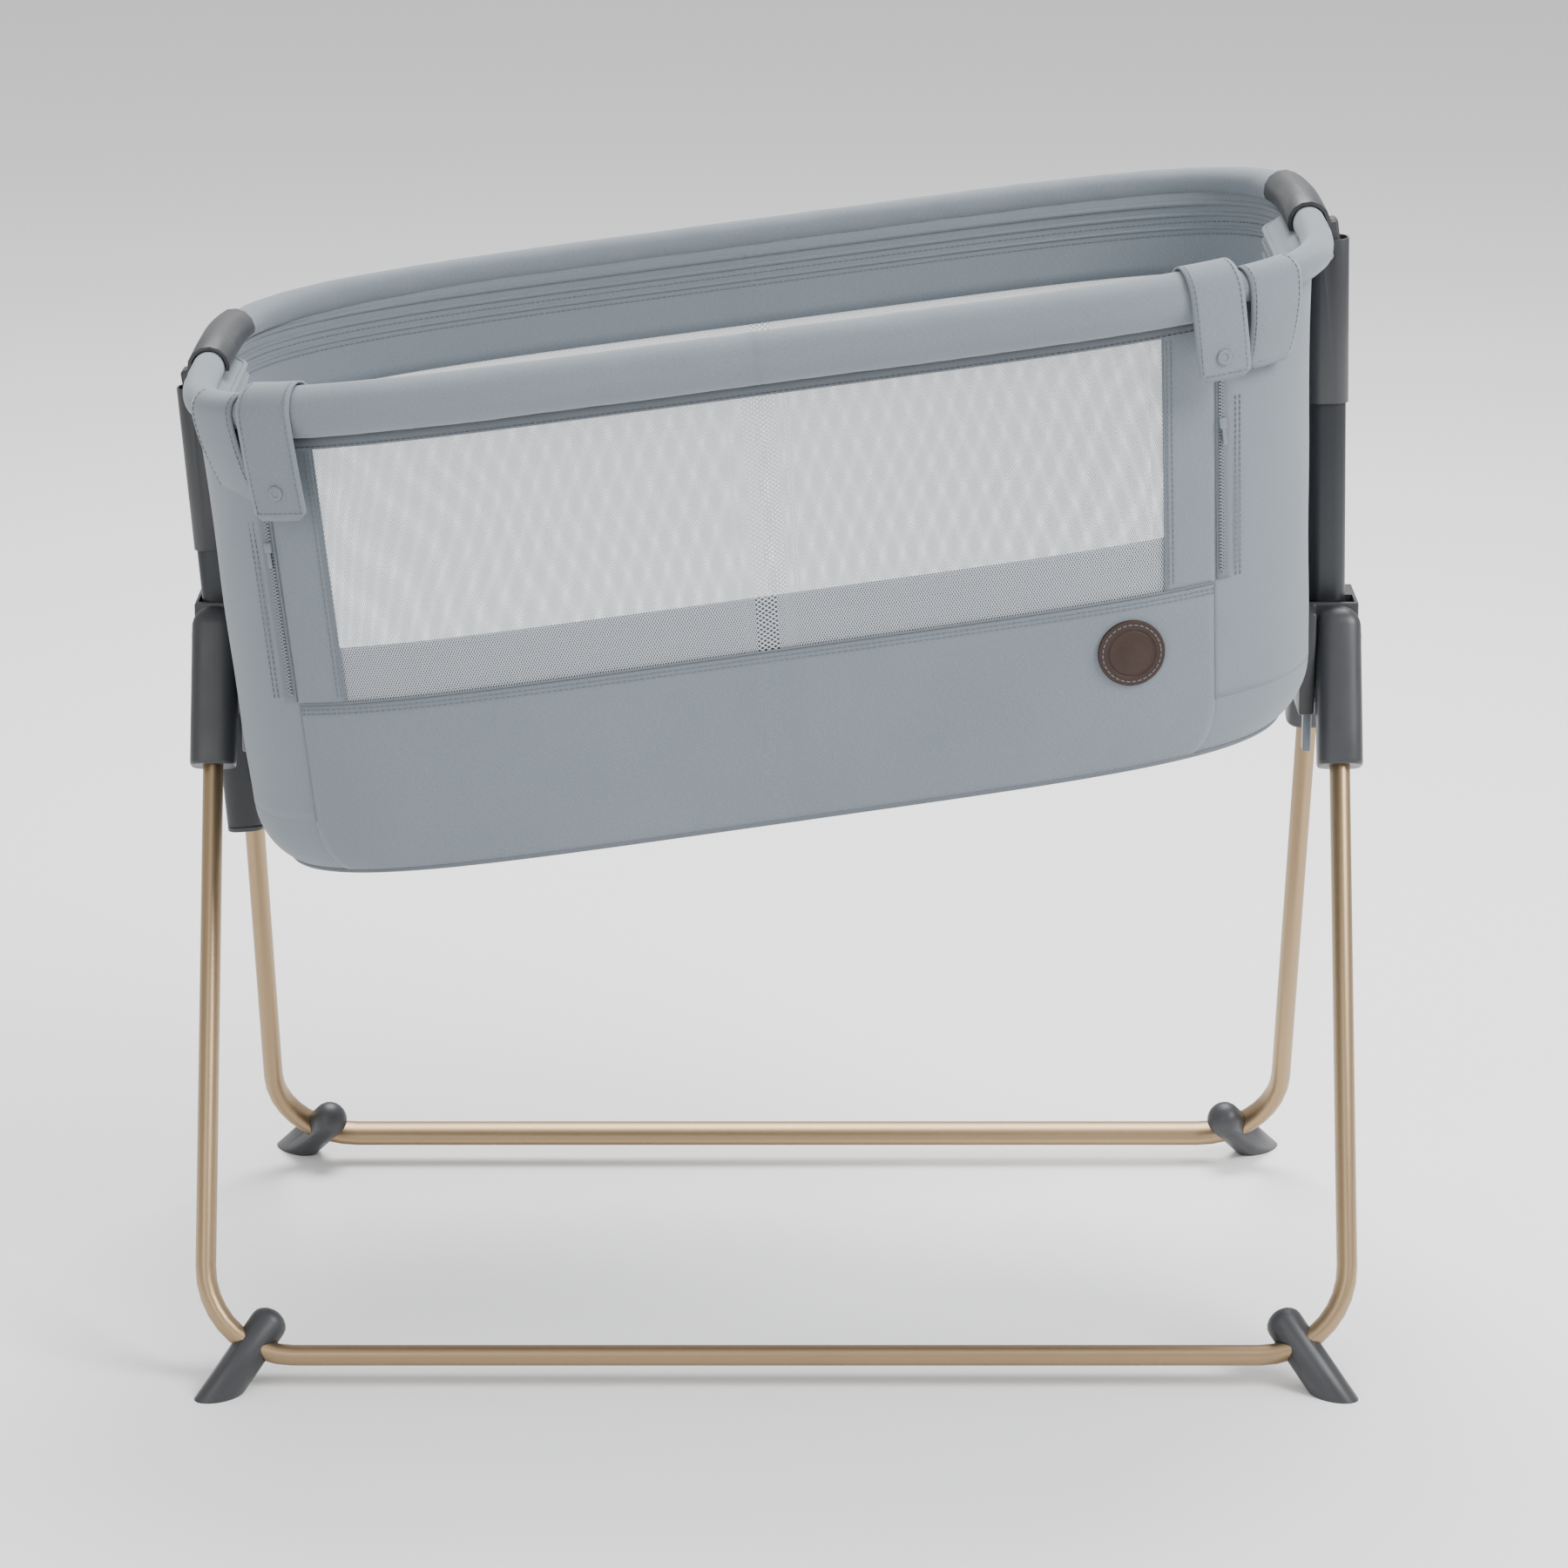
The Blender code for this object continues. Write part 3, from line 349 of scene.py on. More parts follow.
def finishes():
    """The materials, made once."""
    if not FINISHES:
        c = colours()
        FINISHES.update({
            "cloth": melange_cloth("woven_melange_polyester", c.cloth, c.cloth_shade),
            # Painted light: the end walls' cloth has less of the dark yarn, so the ends show lighter, as if lit
            # more than the sides.
            "cloth_ends_painted_light": melange_cloth("woven_melange_polyester_ends_painted_light", c.cloth, c.cloth_shade, contrast=0.35),
            "binding": melange_cloth("woven_binding_tape", c.binding, shaded(c.binding, 0.8)),
            "seam": melange_cloth("folded_seam", c.seam, shaded(c.seam, 0.85), on_surface=False, contrast=0.3),
            "piping": melange_cloth("corded_piping", c.binding, shaded(c.binding, 0.85), on_surface=False),
            "pale_piping": melange_cloth("pale_corded_piping", c.mattress, c.cloth, on_surface=False),
            "thread": melange_cloth("sewing_thread", c.cloth_shade, shaded(c.cloth_shade, 0.8),
                                    on_surface=False),
            "mesh": knitted_mesh("knitted_polyester_mesh", c.mesh, 0.80),
            "mattress": melange_cloth("quilted_mattress_cover", c.mattress, shaded(c.mattress, 0.9),
                                      on_surface=False),
            "plastic": moulded_plastic("moulded_nylon", c.plastic),
            "snap": moulded_plastic("moulded_grey_snap", c.seam, 0.35),
            "leg": metal("anodised_aluminium", c.leg, 0.42, 1.0, 900.0),
            "post": metal("powder_coated_steel", c.post, 0.40, 0.35, 1600.0),
            "steel": metal("zinc_plated_steel", linear("#9B9DA0"), 0.36, 1.0, 700.0),
            "board": moulded_plastic("pressed_fibre_board", linear("#8A7B68"), 0.8),
            "leather": tanned_leather("vegetable_tanned_leather", c.leather),
        })
    return FINISHES


# The basket's shape ---------------------------------------------------------------------------------

def smooth(t):
    t = min(1.0, max(0.0, t))
    return t * t * (3 - 2 * t)


def half_length(depth):
    into = min(1.0, max(0.0, (depth - (BASKET_DEPTH - END_CORNER)) / END_CORNER))
    return WALL_HALF_LENGTH - LENGTH_TAPER * depth - END_CORNER * (1 - math.sqrt(1 - into * into)) * 0.8


def half_width(depth):
    into = min(1.0, max(0.0, (depth - (BASKET_DEPTH - SIDE_CORNER)) / SIDE_CORNER))
    return WALL_HALF_WIDTH - WIDTH_TAPER * depth - SIDE_CORNER * (1 - math.sqrt(1 - into * into)) * 0.7


def superellipse(angle, a, b):
    c, s = math.cos(angle), math.sin(angle)
    return (a * math.copysign(abs(c) ** (2 / RIM_POWER), c), b * math.copysign(abs(s) ** (2 / RIM_POWER), s))


def angle_at(u, back=False):
    """The outline's angle where it passes u on the front or back side of the rim."""
    angle = math.acos(math.copysign((abs(u) / RIM_HALF_LENGTH) ** (RIM_POWER / 2), u))
    return angle if back else -angle


def wall_point(angle, depth, proud=0.0):
    """A point on the basket's wall, in the basket's own axes."""
    a, b = half_length(depth) + proud, half_width(depth) + proud
    u, y = superellipse(angle, a, b)
    if abs(u) > half_length(depth) * 0.9:
        inwards = DENT_DEPTH * smooth((depth - RIM_TUCK) / RIM_TUCK_FALL)
        u -= math.copysign(inwards * smooth((DENT_FROM - abs(y)) / (DENT_FROM - DENT_TO)), u)
    sway = SWAY_AT_TOP + SWAY_PER_DEPTH * depth
    return Vector((u + sway, y, -depth * (1 + LOW_END_DROOP * (1 - u / RIM_HALF_LENGTH))))


def even_angles(start, end, step):
    """Angles from start to end, about step apart along the rim, and the distance run at each."""
    fine = 1200
    angles = [start + (end - start) * i / fine for i in range(fine + 1)]
    points = [Vector(superellipse(a, RIM_HALF_LENGTH, RIM_HALF_WIDTH)) for a in angles]
    run = [0.0]
    for first, second in zip(points, points[1:]):
        run.append(run[-1] + (second - first).length)
    count = max(2, round(run[-1] / step))
    chosen, index = [], 0
    for i in range(count + 1):
        goal = run[-1] * i / count
        while index < fine - 1 and run[index + 1] < goal:
            index += 1
        share = min(1.0, (goal - run[index]) / max(1e-12, run[index + 1] - run[index]))
        chosen.append((angles[index] + (angles[index + 1] - angles[index]) * share, goal))
    return chosen


def even_depths(top, bottom, step):
    """Depths from top to bottom, closer together round the bottom corner."""
    corner = BASKET_DEPTH - END_CORNER
    if bottom <= corner:
        count = max(2, round((bottom - top) / step))
        return [top + (bottom - top) * i / count for i in range(count + 1)]
    count = max(2, round((corner - top) / step))
    straight = [top + (corner - top) * i / count for i in range(count)]
    last = math.asin(min(1.0, (bottom - corner) / END_CORNER))
    return straight + [corner + END_CORNER * math.sin(last * i / 12) for i in range(13)]


def rim_frame(angle):
    """A frame on the rim line: x along it, y outwards, z up."""
    at, near = (Vector(superellipse(a, RIM_HALF_LENGTH, RIM_HALF_WIDTH))
                for a in (angle - 0.002, angle + 0.002))
    along = (near - at).normalized()
    middle = (at + near) / 2
    return Matrix(((along.x, along.y, 0, middle.x), (along.y, -along.x, 0, middle.y),
                   (0, 0, 1, 0), (0, 0, 0, 1)))


def ripple(a, b, seed=0.0):
    """Smooth noise between about -1 and 1."""
    return noise.noise(Vector((a, b, seed)))


def ring_ripple(run, turn, reach):
    """Smooth noise along a round roll that meets itself after a full turn."""
    return noise.noise(Vector((run, reach * math.cos(turn), reach * math.sin(turn))))


# Making pieces --------------------------------------------------------------------------------------

def add_object(name, data):
    made = bpy.data.objects.new(name, data)
    bpy.context.scene.collection.objects.link(made)
    return made


def piece_from(bm, name, material, matrix=None, thickness=0.0, sharp=math.radians(50)):
    """Makes the piece's object, in place, and gives cloth its thickness inwards."""
    if matrix is not None:
        bm.transform(matrix)
    data = bpy.data.meshes.new(name)
    bm.to_mesh(data)
    bm.free()
    data.shade_smooth()
    data.set_sharp_from_angle(angle=sharp)
    piece = add_object(name, data)
    data.materials.append(finishes()[material])
    if thickness:
        solid = piece.modifiers.new("cloth thickness", "SOLIDIFY")
        solid.thickness = thickness
        solid.offset = -1.0
    return piece


def grid_piece(name, columns, rows, place, run, material, thickness=0.0, closed=False, inside=None,
               matrix=BASKET):
    """A sheet from a grid: place(column, row) gives each point, and run(column, row) its flat place."""
    bm = bmesh.new()
    bmesh.ops.create_grid(bm, x_segments=columns, y_segments=rows, size=0.5)
    layer = bm.loops.layers.uv.new("cloth")
    spots = {v: (round((v.co.x + 0.5) * columns), round((0.5 - v.co.y) * rows)) for v in bm.verts}
    for face in bm.faces:
        for loop in face.loops:
            loop[layer].uv = run(*spots[loop.vert])
    for vert, spot in spots.items():
        vert.co = place(*spot)
    if closed:
        bmesh.ops.remove_doubles(bm, verts=bm.verts, dist=1e-6)
        bmesh.ops.holes_fill(bm, edges=[e for e in bm.edges if e.is_boundary], sides=max(rows, columns))
        if any(e.is_boundary for e in bm.edges):
            raise ValueError(f"{name} isn't closed")
        bmesh.ops.recalc_face_normals(bm, faces=bm.faces)
    else:
        bm.normal_update()
        outwards = 0.0
        for face in bm.faces:
            middle = face.calc_center_median()
            outwards += face.normal.dot(middle - (inside or Vector((0, 0, middle.z))))
        if outwards < 0:
            bmesh.ops.reverse_faces(bm, faces=bm.faces)
    return piece_from(bm, name, material, matrix, thickness)


def wall(name, start, end, top, bottom, step, bulge, material, thickness=FABRIC, proud=0.0):
    """A sheet of the basket's wall between two angles and two depths. bulge(run, depth, length) lifts it."""
    angles = even_angles(start, end, step)
    depths = even_depths(top, bottom, step)
    length = angles[-1][1]

    def place(column, row):
        angle, along = angles[column]
        return wall_point(angle, depths[row], proud + bulge(along, depths[row], length))

    piece = grid_piece(name, len(angles) - 1, len(depths) - 1, place,
                       lambda column, row: (angles[column][1], depths[row]), material, thickness)
    return piece


def roll(name, start, end, radius, step, sides, bulge, material):
    """A padded roll along the rim line. bulge(run, turn, length) lifts its surface."""
    angles = even_angles(start, end, step)
    frames = [rim_frame(angle) for angle, _ in angles]
    length = angles[-1][1]

    def place(column, row):
        turn = FULL_TURN * row / sides
        run = angles[column][1]
        r = radius + bulge(run, turn, length)
        return frames[column] @ Vector((0, r * math.cos(turn), r * math.sin(turn)))

    return grid_piece(name, len(angles) - 1, sides, place,
                      lambda column, row: (angles[column][1], radius * FULL_TURN * row / sides),
                      material, closed=True)


def cord(name, points, radius, material, cyclic=False):
    """A thin round cord, such as piping, through the points."""
    curve = bpy.data.curves.new(name, "CURVE")
    curve.dimensions = "3D"
    curve.bevel_depth = radius
    curve.bevel_resolution = 2
    curve.use_fill_caps = True
    line = curve.splines.new("POLY")
    line.points.add(len(points) - 1)
    for spot, point in zip(line.points, points):
        spot.co = (*point, 1)
    line.use_cyclic_u = cyclic
    holder = bpy.data.objects.new(name, curve)
    bm = bmesh.new()
    mesh = bpy.data.meshes.new_from_object(holder)
    bm.from_mesh(mesh)
    bpy.data.objects.remove(holder)
    bpy.data.curves.remove(curve)
    bpy.data.meshes.remove(mesh)
    bmesh.ops.remove_doubles(bm, verts=bm.verts, dist=1e-6)
    bmesh.ops.recalc_face_normals(bm, faces=bm.faces)
    return piece_from(bm, name, material, BASKET)


def stitches(name, lines, material="thread"):
    """Rows of sewn stitches along lines of points."""
    bm = bmesh.new()
    length = sizes().stitch
    radius = 0.0005
    for points in lines:
        run = 0.0
        goal = length
        for first, second in zip(points, points[1:]):
            span = (second - first).length
            while run + span >= goal:
                at = first.lerp(second, (goal - run) / span)
                turn = (second - first).to_track_quat("Z", "Y").to_matrix().to_4x4()
                bmesh.ops.create_cone(bm, cap_ends=True, segments=5, radius1=radius, radius2=radius * 0.8,
                                      depth=length, matrix=Matrix.Translation(at) @ turn)
                goal += length * 1.5
            run += span
    return piece_from(bm, name, material, BASKET)


def wall_line(start, end, depth, proud):
    """Points along the wall at one depth."""
    return [wall_point(angle, depth, proud) for angle, _ in even_angles(start, end, LINE_STEP)]


def drop_line(angle, top, bottom, proud):
    """Points straight down the wall."""
    return [wall_point(angle, depth, proud) for depth in even_depths(top, bottom, LINE_STEP)]


def facing(first, second):
    """A turn that puts x along the rim, from the first point to the second, and y outwards."""
    along = (second - first).normalized()
    return Vector((along.y, -along.x, 0)).to_track_quat("Y", "Z").to_matrix().to_4x4()


def hang(piece, part="side"):
    """Bakes the piece's place into its mesh. Its part's bend and seam are looked up but not used, so it doesn't
    bend."""
    seam_u, out_u, out_y, rate = BENDS[part]
    seam = wall_point(angle_at(seam_u), DROP_SEAM)
    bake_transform(piece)
    return piece


def swing(piece):
    """Bakes the piece's place into its mesh. The drop side's seam is looked up but not used, so it doesn't
    follow the drop side.
    """
    seam = wall_point(angle_at(0.0), DROP_SEAM)
    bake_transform(piece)
    return piece


def ride(piece, body):
    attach(piece, body)
    return piece


BODY_OF = {node: body for body, nodes in frame["record"]["behaviour"]["bodies"].items() for node in nodes}
MESH_LEFT, MESH_RIGHT = angle_at(-0.394, True), angle_at(0.366, True)
FRONT_LEFT, FRONT_RIGHT = angle_at(PANEL_SPAN[0]), angle_at(PANEL_SPAN[1])
BACK_LEFT, BACK_RIGHT = angle_at(-BACK_SPLIT, True), angle_at(BACK_SPLIT, True)


def moulded(node, material, edge=0.0008, steps=2):
    """A rigid node's shape, merged, with its sharp edges eased as the real one's are."""
    bm = bmesh.new()
    bm.from_mesh(frame["nodes"][node].data)
    bmesh.ops.remove_doubles(bm, verts=bm.verts, dist=1e-6)
    if not node.endswith("tube"):
        bmesh.ops.dissolve_limit(bm, angle_limit=math.radians(0.3), verts=bm.verts, edges=bm.edges)
    piece = piece_from(bm, node + "_finished", material, sharp=math.pi)
    eased = piece.modifiers.new("eased edges", "BEVEL")
    eased.width = edge
    eased.segments = steps
    eased.limit_method = "ANGLE"
    eased.angle_limit = math.radians(38)
    eased.harden_normals = True
    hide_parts(node)
    return ride(piece, BODY_OF[node])


def finish_hidden(node):
    """A tube inside its cloth sleeve keeps its own shape, and takes its metal's finish."""
    held = frame["nodes"][node]
    for place in held.material_slots:
        place.material = finishes()["steel"]


def stud(radius, height, matrix, sides, edge, rings):
    """A round flat piece on its face, with an eased edge. rings are (inset, rise) steps on its top."""
    bm = bmesh.new()
    made = bmesh.ops.create_cone(bm, cap_ends=True, segments=sides, radius1=radius, radius2=radius,
                                 depth=height, matrix=Matrix.Translation((0, 0, height / 2)))
    verts = made["verts"]
    top = max({f for v in verts for f in v.link_faces}, key=lambda f: f.calc_center_median().z)
    bmesh.ops.bevel(bm, geom=list(top.edges), offset=edge, segments=3, affect="EDGES", profile=0.5,
                    material=-1)
    faces = [f for f in bm.faces if len(f.verts) == sides and f.normal.z > 0.9]
    top = max(faces, key=lambda f: f.calc_center_median().z)
    for inset, rise in rings:
        bmesh.ops.inset_region(bm, faces=[top], thickness=inset, use_even_offset=True)
        bmesh.ops.translate(bm, verts=top.verts, vec=(0, 0, rise))
    bm.transform(matrix)
    return bm


def flat_still(run, depth, length):
    return 0.0


def edge_fade(run, length, reach=0.025):
    return smooth(min(run, length - run) / reach)


def end_creases(run, depth, length):
    """Puckers under the rim, and long slack folds below them."""
    held = edge_fade(run, length) * smooth((depth - 0.012) / 0.03)
    low = 1 - smooth((depth - 0.26) / 0.055)
    puckers = ripple(run * 38, depth * 9, 2.0) * math.exp(-depth / 0.07) * 0.9
    folds = ripple((run + depth * 0.8) * 11, (run - depth) * 3.5, 5.0) * 1.3
    sag = ripple(run * 4.0, depth * 5.0, 8.0) * 1.2
    return sizes().crease * held * low * (puckers + folds + sag)


def panel_creases(run, depth, length):
    held = edge_fade(run, length, 0.04) * smooth((depth - DROP_SEAM) / 0.02)
    low = 1 - smooth((depth - 0.29) / 0.05)
    return 0.0013 * held * low * (ripple(run * 5, depth * 14, 1.0) + ripple(run * 17, depth * 9, 4.0) * 0.5)


def mesh_creases(run, depth, length):
    """Shallow diagonal pulls in the stretched net."""
    held = edge_fade(run, length, 0.03) * smooth((depth - 0.03) / 0.03) * smooth((DROP_SEAM - depth) / 0.03)
    return 0.0013 * held * (ripple((run + depth * 1.4) * 10, (run - depth) * 2.2, 6.0)
                            + ripple((run - depth * 1.6) * 7, run * 2.0, 9.0))


# The stand ------------------------------------------------------------------------------------------

def leg_sleeve(word, side):
    """The moulded sleeve at the top of a leg: a soft square in section, domed over its pivot."""
    node = f"{word}_{side}_leg_sleeve"
    low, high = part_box(node)
    across, forward = (-1 if side == "left" else 1), (-1 if word == "front" else 1)
    axis = Vector((0, -forward * math.sin(LEG_LEAN), math.cos(LEG_LEAN)))
    side_on = Vector((1, 0, 0))
    deep = axis.cross(side_on)
    pivot = Vector(((low[0] + high[0]) / 2, forward * LEG_PIVOT_Y, LEG_PIVOT_Z))
    half = (high[0] - low[0]) / 2 * 1.03
    # Places along the leg and how far the section has grown there: the rounded foot, the shaft, the dome.
    stations = [(-0.1120, 0.82), (-0.1120, 0.94), (-0.1110, 0.985), (-0.1090, 1.0), (-0.080, 1.0),
                (-0.050, 1.0), (-0.020, 1.0)]
    quarter = [math.pi / 2 * i / DOME_STEPS for i in range(DOME_STEPS + 1)]
    stations += [(half * 0.98 * math.sin(turn), math.cos(turn)) for turn in quarter]

    def place(column, row):
        turn = FULL_TURN * column / SLEEVE_SIDES
        along, grown = stations[row]
        c, s = (math.copysign(abs(v) ** (2 / SLEEVE_POWER), v) for v in (math.cos(turn), math.sin(turn)))
        return pivot + axis * along + (side_on * c * half + deep * s * SLEEVE_HALF_DEEP) * grown

    sleeve = grid_piece(node + "_finished", SLEEVE_SIDES, len(stations) - 1, place,
                        lambda column, row: (column / SLEEVE_SIDES, stations[row][0]), "plastic",
                        closed=True, matrix=Matrix.Identity(4))
    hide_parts(node)
    ride(sleeve, BODY_OF[node])


def make_stand():
    for word in ("front", "rear"):
        moulded(f"{word}_leg_tube", "leg", 0.0003)
        for side in ("left", "right"):
            leg_sleeve(word, side)
            moulded(f"{word}_{side}_foot", "plastic")
            moulded(f"{side}_{word}_leg_pin", "steel", 0.0004)
    for side in ("left", "right"):
        moulded(f"{side}_hub", "plastic", 0.0070, 5)
        moulded(f"{side}_height_button", "snap", 0.0006)
        moulded(f"{side}_fold_latch", "snap", 0.0006)


def make_posts():
    for side in ("left", "right"):
        moulded(f"{side}_post_tube", "post", 0.0004)
        moulded(f"{side}_post_sleeve", "plastic", 0.0010)
        moulded(f"{side}_post_end_cap", "plastic", 0.0006)
        moulded(f"{side}_bracket", "plastic", 0.0020, 3)
        moulded(f"{side}_bracket_pin", "steel", 0.0005)


# The basket -----------------------------------------------------------------------------------------

def make_rim():
    """The cloth sleeve over the rim's tube, and the piping and seams inside the rim."""
    start, end = angle_at(RIM_SPAN[0]), angle_at(RIM_SPAN[1]) + FULL_TURN
    inner = wall("inner_rim_band", FRONT_RIGHT + 0.002, FRONT_LEFT + FULL_TURN - 0.002, 0.006,
                 BACK_MESH_TOP, 0.009, flat_still, "cloth", thickness=0.0010, proud=-0.0022)
    ride(inner, "basket")
    sleeve = roll("rim_sleeve", start, end, RIM_ROLL_RADIUS, 0.006, 24,
                  lambda run, turn, length: 0.0004 * ring_ripple(run * 55, turn, 1.0)
                  + 0.0003 * ring_ripple(run * 12, turn, 1.6), "cloth")
    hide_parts("rim_cover")
    ride(sleeve, "basket")
    finish_hidden("rim_tube")
    for word, depth, radius in (("upper", 0.0150, 0.0022), ("middle", 0.0240, 0.0018),
                                ("lower", 0.0350, 0.0014)):
        line = wall_line(FRONT_RIGHT + 0.01, FRONT_LEFT + FULL_TURN - 0.01, depth, -0.0030)
        ride(cord(f"inner_{word}_piping", line, radius, "cloth"), "basket")
    rows = [wall_line(FRONT_RIGHT, FRONT_LEFT + FULL_TURN, depth, -0.0034) for depth in (0.0300, 0.0400)]
    ride(stitches("inner_rim_stitching", rows), "basket")


def folded_strap(name, ends, radius, hanging, draw_in):
    """A strap folded over a round rail. It hangs down outside, and its lower corners are rounded.
    Returns the strap and the lines of points that its stitches follow."""
    arcs, drops, columns = 18, 14, 10
    frames = [rim_frame(ends[0] + (ends[1] - ends[0]) * i / columns) for i in range(columns + 1)]
    half = (frames[-1].translation - frames[0].translation).length / 2
    line = [(-radius, -0.012), (-radius, -0.006)]
    line += [(-radius * math.cos(math.pi * i / arcs), radius * math.sin(math.pi * i / arcs))
             for i in range(arcs + 1)]
    line += [(radius - draw_in * smooth(i / drops * 0.5) * 2, -hanging * i / drops)
             for i in range(1, drops + 1)]
    run = [0.0]
    for first, second in zip(line, line[1:]):
        run.append(run[-1] + math.dist(first, second))

    def point(across, row, lift=0.0):
        out, up = line[row]
        left = min(1.0, (run[-1] - run[row]) / 0.007)
        narrow = 0.007 * (1 - math.sqrt(max(0.0, 1 - (1 - left) ** 2)))
        place = (across + 1) / 2 * columns
        near = min(columns - 1, int(place))
        here = frames[near].lerp(frames[near + 1], place - near)
        lift += 0.0005 * ripple(across * 1.5, run[row] * 30, ends[0])
        return here @ Vector((-across * narrow, out + math.copysign(lift, out if up <= 0 else 1), up))

    strap = grid_piece(name, columns, len(line) - 1, lambda column, row: point(column / columns * 2 - 1, row),
                       lambda column, row: (2 * half * column / columns, run[row]), "cloth",
                       thickness=FABRIC, inside=frames[columns // 2] @ Vector((0, 0, -0.01)))
    last = len(line) - 2
    rows = [[point(edge, row, 0.0004) for row in range(arcs // 2 + 2, last + 1)] for edge in (-0.84, 0.84)]
    rows.append([point(-0.84 + 1.68 * i / 20, last, 0.0004) for i in range(21)])
    return strap, rows


def make_flap(side):
    """The end wall's flap, folded over the rim next to the zip."""
    low, high, hanging = FLAPS[side]
    flap, rows = folded_strap(f"{side}_rim_flap", [angle_at(low), angle_at(high)], FLAP_RADIUS, hanging,
                              FLAP_DRAW_IN)
    ride(flap, "basket")
    ride(stitches(f"{side}_rim_flap_stitching", rows), "basket")


def make_end(side, start, end):
    """One end wall, its bottom corner, and the flap beside its zip."""
    # Both pieces of the end wall take the cloth painted lighter than the sides, which is painted light.
    cloth = wall(f"{side}_end_cloth", start, end, WALL_TOP, CORNER_TOP, 0.007, end_creases, "cloth_ends_painted_light")
    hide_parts(f"{side}_end_wall")
    hang(cloth, side)
    corner = wall(f"{side}_end_base_corner", start, end, CORNER_TOP - CORNER_LAP, WALL_BOTTOM, 0.007,
                  flat_still, "cloth_ends_painted_light", proud=-0.0002)
    ride(corner, "hanging_base")
    make_flap(side)


def make_ends():
    make_end("left", MESH_LEFT, FRONT_LEFT + FULL_TURN + SEAM_LAP)
    make_end("right", FRONT_RIGHT - SEAM_LAP, MESH_RIGHT)


def make_back():
    """The back's cloth band, its mesh that reaches into both corners, and the cloth under the mesh."""
    band = wall("back_top_cloth", MESH_RIGHT, MESH_LEFT, WALL_TOP, BACK_MESH_TOP, 0.008, flat_still, "cloth")
    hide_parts("back_top_band")
    ride(band, "basket")
    spans = (("middle", "side", BACK_RIGHT, BACK_LEFT), ("left", "left", BACK_LEFT, MESH_LEFT),
             ("right", "right", MESH_RIGHT, BACK_RIGHT))
    for word, part, start, end in spans:
        net = wall(f"back_{word}_mesh_cloth", start, end, BACK_MESH_TOP - 0.004, BACK_MESH_BOTTOM + 0.004,
                   0.008, flat_still, "mesh", thickness=0.0, proud=-0.0008)
        hang(net, part)
        low = wall(f"back_{word}_lower_cloth", start, end, BACK_MESH_BOTTOM, CORNER_TOP, 0.008,
                   flat_still, "cloth")
        hang(low, part)
        corner = wall(f"back_{word}_base_corner", start, end, CORNER_TOP - CORNER_LAP, WALL_BOTTOM, 0.008,
                      flat_still, "cloth", proud=-0.0002)
        ride(corner, "hanging_base")
        if word == "middle":
            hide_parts("back_mesh")
            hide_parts("back_lower_panel")
        lines = [wall_line(start, end, depth, 0.0004)
                 for depth in (BACK_MESH_TOP - 0.003, BACK_MESH_BOTTOM + 0.004)]
        hang(stitches(f"back_{word}_mesh_stitching", lines), part)
    for side, angle in (("left", MESH_LEFT), ("right", MESH_RIGHT)):
        seam = cord(f"back_{side}_seam", drop_line(angle, 0.006, CORNER_TOP, 0.0002), 0.0010, "seam")
        hang(seam, side)


def make_front():
    """The cloth panel under the drop side, and the band of it that stands up inside the mesh."""
    panel = wall("front_panel_cloth", FRONT_LEFT, FRONT_RIGHT, DROP_SEAM + 0.001, WALL_BOTTOM, 0.007,
                 panel_creases, "cloth", proud=0.0009)
    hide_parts("front_lower_panel")
    hang(panel)
    band = wall("front_inner_band", FRONT_LEFT + 0.004, FRONT_RIGHT - 0.004, BAND_TOP, DROP_SEAM + 0.004,
                0.007, flat_still, "binding", thickness=THIN_FABRIC, proud=-0.0034)
    ride(band, "basket")
    line = wall_line(FRONT_LEFT, FRONT_RIGHT, BAND_TOP + 0.004, -0.0031)
    ride(stitches("front_band_stitching", [line]), "basket")
    seam = cord("drop_seam_ridge", wall_line(FRONT_LEFT, FRONT_RIGHT, DROP_SEAM, 0.0009), 0.0008, "seam")
    ride(seam, "basket")
    rows = [wall_line(FRONT_LEFT, FRONT_RIGHT, DROP_SEAM + drop, 0.0012) for drop in (0.0045, 0.0080)]
    ride(stitches("drop_seam_stitching", rows), "basket")
    for side, angle in (("left", FRONT_LEFT), ("right", FRONT_RIGHT)):
        ridge = cord(f"front_{side}_seam", drop_line(angle, DROP_SEAM, CORNER_TOP, 0.0006), 0.0008, "seam")
        hang(ridge)


